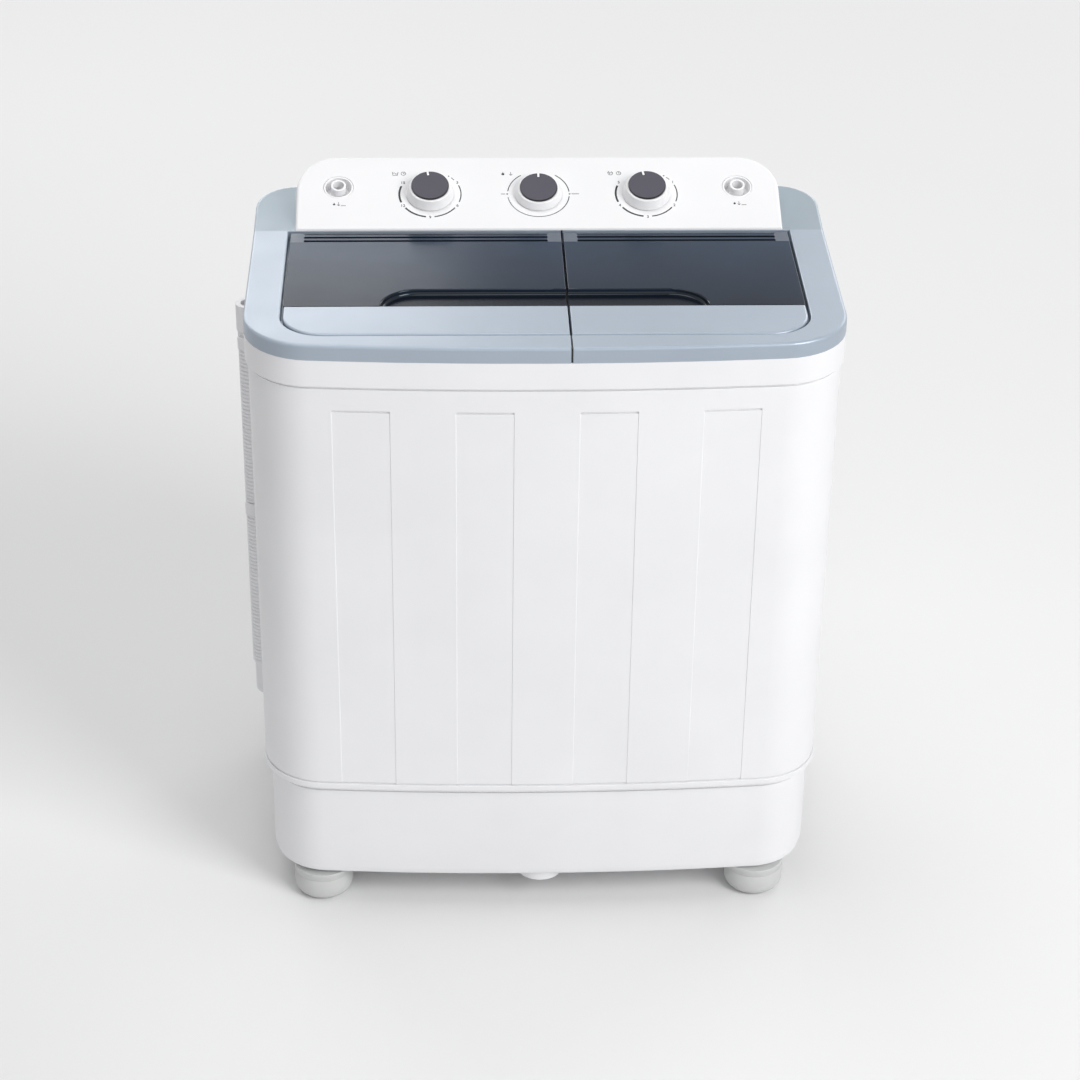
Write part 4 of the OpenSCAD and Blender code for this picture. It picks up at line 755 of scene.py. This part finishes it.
def addKnob(dial):
    look = knobLook
    height = look["heights"][dial]
    seat = height - look["capThick"]
    place = onPanel(dialX(dial), 0, 0, look["turned"][dial])
    skirt, top, cap, gap = look["skirt"], look["top"], look["cap"], look["gap"]
    profile = [(top - 3.4, seat - 2.0), (skirt - 2.6, gap + 0.8), (skirt - 1.8, gap),
               (skirt - 0.5, gap), (skirt - 0.1, gap + 0.3), (skirt, gap + 0.8),
               (skirt - 0.15, gap + 1.5), (skirt - 0.7, gap + 3.0), (top + 0.7, seat - 1.8),
               (top + 0.35, seat - 0.7), (top - 0.1, seat - 0.2), (top - 0.8, seat),
               (cap - 0.5, seat), (cap - 1.0, seat - 0.3)]
    skirtPiece = turnedShape([(r * mm, z * mm) for r, z in profile], look["sides"])
    wide, long = look["pointer"]
    pointer = addBlock((-wide / 2, cap + 0.1 - long, seat - 0.4), (wide / 2, cap + 0.1, height), 0.35)
    skirtPiece = joinPieces([skirtPiece, pointer])
    placePiece(skirtPiece, place)
    shadeBySharpness(skirtPiece, 40)
    finishPiece(skirtPiece, nameOf(dial) + "Knob", dial + "_dial", "knobWhite",
                [dial + "_knob"])
    face = height - 0.25
    profile = [(cap - 0.9, seat + 0.05), (cap - 0.3, seat + 0.05), (cap, seat + 0.3),
               (cap, face - 0.7), (cap - 0.25, face - 0.2), (cap - 0.8, face), (cap - 1.3, face - 0.08),
               (cap - 5.0, face - 0.02), (cap * 0.5, face + 0.05), (cap * 0.25, face + 0.08)]
    capPiece = turnedShape([(r * mm, z * mm) for r, z in profile], look["sides"])
    slot = addBlock((-wide / 2 - 0.55, cap - 0.5 - long, seat + 0.4),
                    (wide / 2 + 0.55, cap - 0.35, face + 0.06), 0.2, 2)
    slot.data.materials.append(materials["capRim"])
    capPiece = joinPieces([capPiece, slot])
    placePiece(capPiece, place)
    shadeBySharpness(capPiece, 40)
    back = place.inverted()

    def isDark(middle, normal):
        spot = back @ (middle * mm) / mm
        return math.hypot(spot.x, spot.y) > cap - 1.05 \
            or abs(spot.x) < wide / 2 + 0.56 and spot.y > cap - 0.52 - long

    finishPiece(capPiece, nameOf(dial) + "Cap", dial + "_dial", "capGrey",
                [dial + "_cap"], [("capRim", isDark)])


for dial in ("wash_timer", "selector", "spin_timer"):
    addKnob(dial)
print("dials are made")


# print on the console: arcs are (width, start angle, end angle) and strokes are in mm

inkLook = {"thick": 0.12, "sunk": 0.03, "ring": 31.6, "number": 3.4, "numberRing": 32.2, "stroke": 0.5,
           "numberAngles": (60, 120, 180, 240, 300), "timerDot": 37, "timerSigns": ((-36, 29), (-27.5, 29)),
           "timerArcs": [(2.0, 249, 291), (1.8, 188, 233), (1.35, 127, 172), (1.1, 67, 110), (0.7, 43, 51)],
           "selectorArcs": [(0.9, 277, 326), (1.0, 34, 84), (0.9, 96, 150)], "lowArc": (0.9, 150, 262)}


def inkBar(start, end, width=inkLook["stroke"]):
    start, end = Vector(start), Vector(end)
    run, middle = end - start, (start + end) / 2
    deselectAll()
    bpy.ops.mesh.primitive_cube_add(size=1, location=(0, 0, 0))
    piece = bpy.context.object
    piece.matrix_world = Matrix.Translation((middle.x, middle.y, 0)) \
        @ Matrix.Rotation(-math.atan2(run.x, run.y), 4, "Z") @ Matrix.Diagonal((width, run.length, 1, 1))
    bpy.ops.object.transform_apply(location=True, rotation=True, scale=True)
    return piece


def inkArc(radius, width, start, end, centre=(0, 0)):
    # angles run clockwise from straight up, as on a clock
    deselectAll()
    bpy.ops.mesh.primitive_plane_add(size=1, location=(0, 0, 0))
    piece = bpy.context.object
    angle = math.radians(start)
    piece.matrix_world = Matrix.Translation((centre[0] + radius * math.sin(angle),
                                             centre[1] + radius * math.cos(angle), 0)) \
        @ Matrix.Rotation(-angle, 4, "Z") @ Matrix.Rotation(math.pi / 2, 4, "Y") \
        @ Matrix.Diagonal((1, width, 1, 1))
    bpy.ops.object.transform_apply(location=True, rotation=True, scale=True)
    startEdit(piece, "FACE")
    selectMesh()
    bpy.ops.mesh.spin(steps=max(6, round(abs(end - start) / 3)), angle=math.radians(end - start),
                      center=(centre[0], centre[1], 0), axis=(0, 0, 1))
    endEdit()
    return makeMeshReady(piece)


def inkNumber(text, height, centre):
    deselectAll()
    bpy.ops.object.text_add(location=(0, 0, 0))
    piece = bpy.context.object
    piece.data.body = text
    piece.data.size = height / 0.7
    piece.data.align_x = "CENTER"
    piece.data.align_y = "CENTER"
    piece.data.extrude = 0.5
    piece.data.offset = 0.03
    bpy.ops.object.convert(target="MESH")
    piece = bpy.context.object
    piece.matrix_world = Matrix.Translation((centre[0], centre[1], 0))
    bpy.ops.object.transform_apply(location=True, rotation=True, scale=True)
    return makeMeshReady(piece)


def inkDrop(size, centre):
    deselectAll()
    bpy.ops.mesh.primitive_circle_add(vertices=24, radius=size, fill_type="NGON",
                                      location=(centre[0], centre[1], 0))
    piece = bpy.context.object
    bpy.ops.object.transform_apply(location=True, rotation=True, scale=True)
    startEdit(piece, "VERT")
    endEdit()
    for vert in piece.data.vertices:
        vert.select = vert.co.y > centre[1] + size * 0.98
    bpy.ops.object.mode_set(mode="EDIT")
    bpy.ops.transform.translate(value=(0, size * 1.1, 0))       # the round's top drawn up to a point
    bpy.ops.mesh.select_mode(type="FACE")
    selectMesh()
    bpy.ops.transform.translate(value=(0, 0, -0.5))
    bpy.ops.mesh.extrude_region_move(TRANSFORM_OT_translate={"value": (0, 0, 1)})
    endEdit()
    return makeMeshReady(piece)


def tubSign(x, y):
    return [inkBar((x - 3, y + 2.2), (x - 2.2, y - 2.4)), inkBar((x + 3, y + 2.2), (x + 2.2, y - 2.4)),
            inkBar((x - 2.4, y - 2.4), (x + 2.4, y - 2.4)),
            inkArc(0.9, 0.45, -90, 90, (x - 0.95, y + 0.2)),
            inkArc(0.9, 0.45, 90, 270, (x + 0.95, y + 0.2))]


def clockSign(x, y):
    return [inkArc(2.3, 0.5, 0, 359.9, (x, y)), inkBar((x, y - 0.2), (x, y + 1.5), 0.45),
            inkBar((x - 0.2, y), (x + 1.2, y), 0.45)]


def spiralSign(x, y):
    return [inkArc(2.4, 0.5, 20, 320, (x, y)), inkArc(1.1, 0.5, -160, 90, (x, y)),
            inkBar((x - 1.9, y + 3.2), (x - 1.4, y + 1.7)), inkBar((x - 3.0, y + 1.3), (x - 1.5, y + 1.8))]


def arrowSign(x, y):
    return [inkBar((x, y + 2.4), (x, y - 2.2)), inkBar((x - 1.5, y - 0.8), (x + 0.1, y - 2.4)),
            inkBar((x + 1.5, y - 0.8), (x - 0.1, y - 2.4))]


def inkDot(radius, centre):
    return inkArc(radius, radius, 0, 350, centre)


def finishInk(pieces, name, x, rise, material="printInk"):
    piece = joinPieces(pieces)
    thick, sunk = inkLook["thick"], inkLook["sunk"]
    flat = Matrix.Diagonal((mm, mm, (thick + sunk) * mm, 1))
    placePiece(piece, onPanel(x, rise, (thick - sunk) / 2) @ flat)
    finishPiece(piece, name, "machine", material)


def onRing(angle, radius):
    return radius * math.sin(math.radians(angle)), radius * math.cos(math.radians(angle))


def addTimerInk(dial, numbers, sign):
    look = inkLook
    pieces = [inkArc(look["ring"], *arc) for arc in look["timerArcs"]]
    for angle, number in zip(look["numberAngles"], numbers):
        pieces.append(inkNumber(number, look["number"], onRing(angle, look["numberRing"])))
    pieces.append(inkDot(0.5, onRing(look["timerDot"], look["ring"])))
    signSpot, clockSpot = look["timerSigns"]
    pieces += sign(*signSpot) + clockSign(*clockSpot)
    finishInk(pieces, nameOf(dial) + "Print", dialX(dial), 0)


def addSelectorInk():
    look = inkLook
    ring = look["ring"]
    pieces = [inkArc(ring, *arc) for arc in look["selectorArcs"]]
    pieces += [inkDot(0.6, (-ring - 0.4, 0)), inkDot(0.6, (ring + 0.4, 0)),
               inkBar((ring + 2.4, 0), (ring + 10, 0), 0.7), inkBar((-ring - 2.4, 0), (-ring - 7, 0), 0.7)]
    pieces += [inkDrop(1.5, (-36, 28)), *arrowSign(-28, 28.6)]
    finishInk(pieces, "selectorPrint", 0, 0)
    finishInk([inkArc(ring, *look["lowArc"])], "selectorLowPrint", 0, 0, "printGrey")


addTimerInk("wash_timer", ("3", "6", "9", "12", "15"), tubSign)
addTimerInk("spin_timer", ("1", "2", "3", "4", "5"), spiralSign)
addSelectorInk()

inletLook = {"edge": 0.8, "reach": 4, "signDrop": 24}


def addInlets():
    look = inletLook

    def isOutside(a, b, edge):
        return edge.is_convex and min(liftOf(a * mm), liftOf(b * mm)) > -look["reach"]

    for node in ("wash_inlet", "spin_inlet"):
        place = inletMounts[node + "_spigot"]["pos_m"]
        dressNode(node, nameOf(node), "inletWhite", [(look["edge"], isOutside)], 3, 40)
        finishInk([inkDrop(1.2, (-4, 0)), *arrowSign(0.5, 0.5), inkBar((3, -1.8), (8, -1.8))],
                  nameOf(node) + "Print", place[0] / mm, riseOf(Vector(place)) - look["signDrop"])


addInlets()
print("printed rings and inlets are made")


# cabinet and base, with their fine grooves; a groove is (height, depth) in mm

cabinetLow, cabinetHigh = boxOf("cabinet")
cabinetLook = {"lip": 0.8, "panel": 0.3, "band": 0.5, "lipHeight": 6, "bandHeight": 28,
               "panelPitch": 118.4, "panelWidth": 55.6, "panelTopGap": 26, "panelRaise": 0.6,
               "bandGroove": (3.4, 1.5), "panelGroove": (1.9, 1.5), "lipGroove": (1.5, 1.0)}


def addCabinet():
    look = cabinetLook
    bandZ = cabinetHigh[2] - look["bandHeight"]
    panelTop, lipTop = bandZ - look["panelTopGap"], cabinetLow[2] + look["lipHeight"]

    def inPanel(middle, normal, corners):
        pitch, half = look["panelPitch"], look["panelWidth"] / 2 + 0.02
        return normal.y < -0.9 and middle.y < 0 and lipTop < middle.z < panelTop and all(
            min(abs(abs(p.x) - pitch / 2), abs(abs(p.x) - 1.5 * pitch)) < half for p in corners)

    piece = copyNode("cabinet")
    pickFaces(piece, inPanel)
    bpy.ops.transform.translate(value=(0, -look["panelRaise"] * mm, 0))
    endEdit()
    rules = [
        (look["lip"], lambda a, b, edge: edge.is_convex and max(a.z, b.z) < lipTop + 1),
        (look["band"], lambda a, b, edge: edge.is_convex and min(a.z, b.z) > bandZ - 2),
        (look["panel"], lambda a, b, edge: (a + b).y / 2 < 0 and lipTop - 1 < min(a.z, b.z)
         and max(a.z, b.z) < bandZ - 5),
    ]
    high, depth = look["panelGroove"]
    top = panelTop - look["panel"] - 0.02
    grooves = [(top - high, top, depth, inPanel)]
    high, depth = look["bandGroove"]
    grooves.append((bandZ - high, bandZ - 0.01, depth))
    high, depth = look["lipGroove"]
    grooves.append((lipTop + 0.01, lipTop + high, depth))
    dressPiece(piece, "cabinet", "cabinetShell", "whiteShell", rules, 3, 14, grooves)


addCabinet()

baseLow = boxOf("base")[0]
baseLook = {"flange": 3.1, "neck": (4.8, 2.0), "rimHeight": 4.0, "rimGroove": (1.3, 0.9),
            "edge": 0.8, "sole": 1.5}


def addBase():
    look = baseLook
    rules = [(look["sole"], lambda a, b, edge: edge.is_convex and max(a.z, b.z) < baseLow[2] + 10),
             (look["edge"], lambda a, b, edge: edge.is_convex and max(a.z, b.z) < cabinetLow[2] - 8)]
    high, depth = look["neck"]
    top = cabinetLow[2] - look["flange"]
    grooves = [(top - high, top, depth)]
    high, depth = look["rimGroove"]
    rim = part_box("foot_front_left")[1][2] / mm + look["rimHeight"]
    grooves.append((rim, rim + high, depth))
    dressNode("base", "baseTray", "whiteShell", rules, 2, 30, grooves=grooves)


addBase()
print("cabinet and base are dressed")


# feet: a moulded cup with a turned-in sole and a ring where it plugs into the base

footLook = {"radius": 31, "height": 35, "round": 12, "sides": 72}


def addFeet():
    look = footLook
    radius, height, bend = look["radius"], look["height"], look["round"]
    for node in ("foot_front_left", "foot_front_right", "foot_rear_left", "foot_rear_right"):
        low, high = boxOf(node)
        middle = Vector(((low[0] + high[0]) / 2, (low[1] + high[1]) / 2, 0)) * mm
        profile = [(6, 3.0), (radius - bend - 4, 2.0), (radius - bend - 3, 0.0)]
        profile += [(radius - bend + bend * math.sin(math.radians(a)),
                     bend - bend * math.cos(math.radians(a))) for a in range(6, 91, 12)]
        profile += [(radius, height - 9), (radius - 0.5, height - 8.4), (radius - 0.5, height - 7.8),
                    (radius, height - 7.2), (radius, height - 0.6), (radius - 0.6, height)]
        piece = turnedShape([(r * mm, z * mm) for r, z in profile], look["sides"])
        placePiece(piece, Matrix.Translation(middle))
        shadeBySharpness(piece, 40)
        # the feet get the white with painted shade
        finishPiece(piece, nameOf(node), "machine", "footPaintedShade", [node])


addFeet()
print("feet are made")


# inner and rear mouldings keep their solids' shape, with every outer edge broken by this much in mm

brokenEdges = {
    "pulsator": 1.4, "spin_press_cap": 0.8, "spin_basket": 0.5, "spin_tub": 0.8, "wash_tub": 0.8,
    "lint_filter": 0.4, "filter_guide": 0.5, "overflow_cover": 0.5, "back_cover": 0.6,
    "hose_cuff": 0.5, "hose_clips": 0.4, "drain_outlet": 0.6, "cord_gland": 0.6,
    "pulsator_screw": 0.4, "cover_screws": 0.3,
}
hoseFittings = ("hose_cuff", "hose_clips", "drain_outlet")


def addMouldings():
    for node, width in brokenEdges.items():
        material = "hosePlastic" if node in hoseFittings else slotMaterials[nodeSlots[node]]
        dressNode(node, nameOf(node) + "Moulding", material,
                  [(width, lambda a, b, edge: edge.is_convex)], 2, 35)


addMouldings()
print("inner and rear mouldings are softened")


# floor and light

stageLook = {"floor": (0.94, 0.94, 0.94), "size": 60, "roughness": 0.9, "shine": 0.1,
             "sky": (0.99, 0.99, 1.0), "world": 0.33, "backdrop": 0.90, "fade": (1.9, 3.4)}


def seenRays(tree):
    # 1 for what the camera sees straight, in gloss or through glass, 0 for the light itself
    rays = tree.nodes.new("ShaderNodeLightPath")
    seen = rays.outputs["Is Camera Ray"]
    for kind in ("Is Glossy Ray", "Is Transmission Ray"):
        either = tree.nodes.new("ShaderNodeMath")
        either.operation = "MAXIMUM"
        tree.links.new(seen, either.inputs[0])
        tree.links.new(rays.outputs[kind], either.inputs[1])
        seen = either.outputs["Value"]
    return seen


def addStage():
    look = stageLook
    deselectAll()
    bpy.ops.mesh.primitive_plane_add(size=look["size"], location=(0, 0, 0))
    floor = bpy.context.object
    floor.name = "studioFloor"
    material = bpy.data.materials.new("studioFloor")
    material.use_nodes = True
    tree = material.node_tree
    shader = tree.nodes["Principled BSDF"]
    shader.inputs["Base Color"].default_value = linear(look["floor"]) + [1]
    shader.inputs["Roughness"].default_value = look["roughness"]
    shader.inputs["Specular IOR Level"].default_value = look["shine"]
    coords = tree.nodes.new("ShaderNodeTexCoord")               # far floor fades into the backdrop
    reach = tree.nodes.new("ShaderNodeVectorMath")
    reach.operation = "LENGTH"
    tree.links.new(coords.outputs["Object"], reach.inputs[0])
    fade = tree.nodes.new("ShaderNodeMath")
    fade.operation = "MULTIPLY"
    tree.links.new(addRange(tree, reach.outputs["Value"], 0, 1, *look["fade"]), fade.inputs[0])
    tree.links.new(seenRays(tree), fade.inputs[1])
    glow = tree.nodes.new("ShaderNodeEmission")
    glow.inputs["Strength"].default_value = look["backdrop"]
    blend = tree.nodes.new("ShaderNodeMixShader")
    tree.links.new(fade.outputs["Value"], blend.inputs[0])
    tree.links.new(shader.outputs["BSDF"], blend.inputs[1])
    tree.links.new(glow.outputs["Emission"], blend.inputs[2])
    tree.links.new(blend.outputs["Shader"], tree.nodes["Material Output"].inputs["Surface"])
    floor.data.materials.append(material)
    world = bpy.data.worlds.new("studio")
    bpy.context.scene.world = world
    world.use_nodes = True
    tree = world.node_tree
    background = tree.nodes["Background"]
    background.inputs["Color"].default_value = look["sky"] + (1,)
    tree.links.new(addRange(tree, seenRays(tree), look["world"], look["backdrop"], 0, 1),
                   background.inputs["Strength"])


lamps = [
    {"name": "keyLamp", "place": (2.4, -2.4, 2.7), "size": (1.8, 1.8), "power": 92},
    {"name": "backLeftLamp", "place": (-1.15, 2.7, 1.75), "size": (2.2, 1.1), "power": 22},
    {"name": "backRightLamp", "place": (1.75, 2.5, 1.75), "size": (2.0, 1.1), "power": 17},
    {"name": "topLamp", "place": (-0.5, 0.1, 3.0), "size": (1.6, 1.6), "power": 20},
    {"name": "frontLamp", "place": (0.4, -3.2, 1.4), "size": (2.4, 2.4), "power": 13},
]
lampAim = (0, 0, 0.5)


def addLamps():
    for lamp in lamps:
        deselectAll()
        bpy.ops.object.light_add(type="AREA", location=lamp["place"])
        light = bpy.context.object
        light.name = lamp["name"]
        light.data.shape = "RECTANGLE"
        light.data.size, light.data.size_y = lamp["size"]
        light.data.energy = lamp["power"]
        towards = Vector(lampAim) - Vector(lamp["place"])
        light.rotation_euler = towards.to_track_quat("-Z", "Y").to_euler()


addStage()
addLamps()
bpy.context.scene.view_settings.view_transform = "Standard"
print("stage is set")
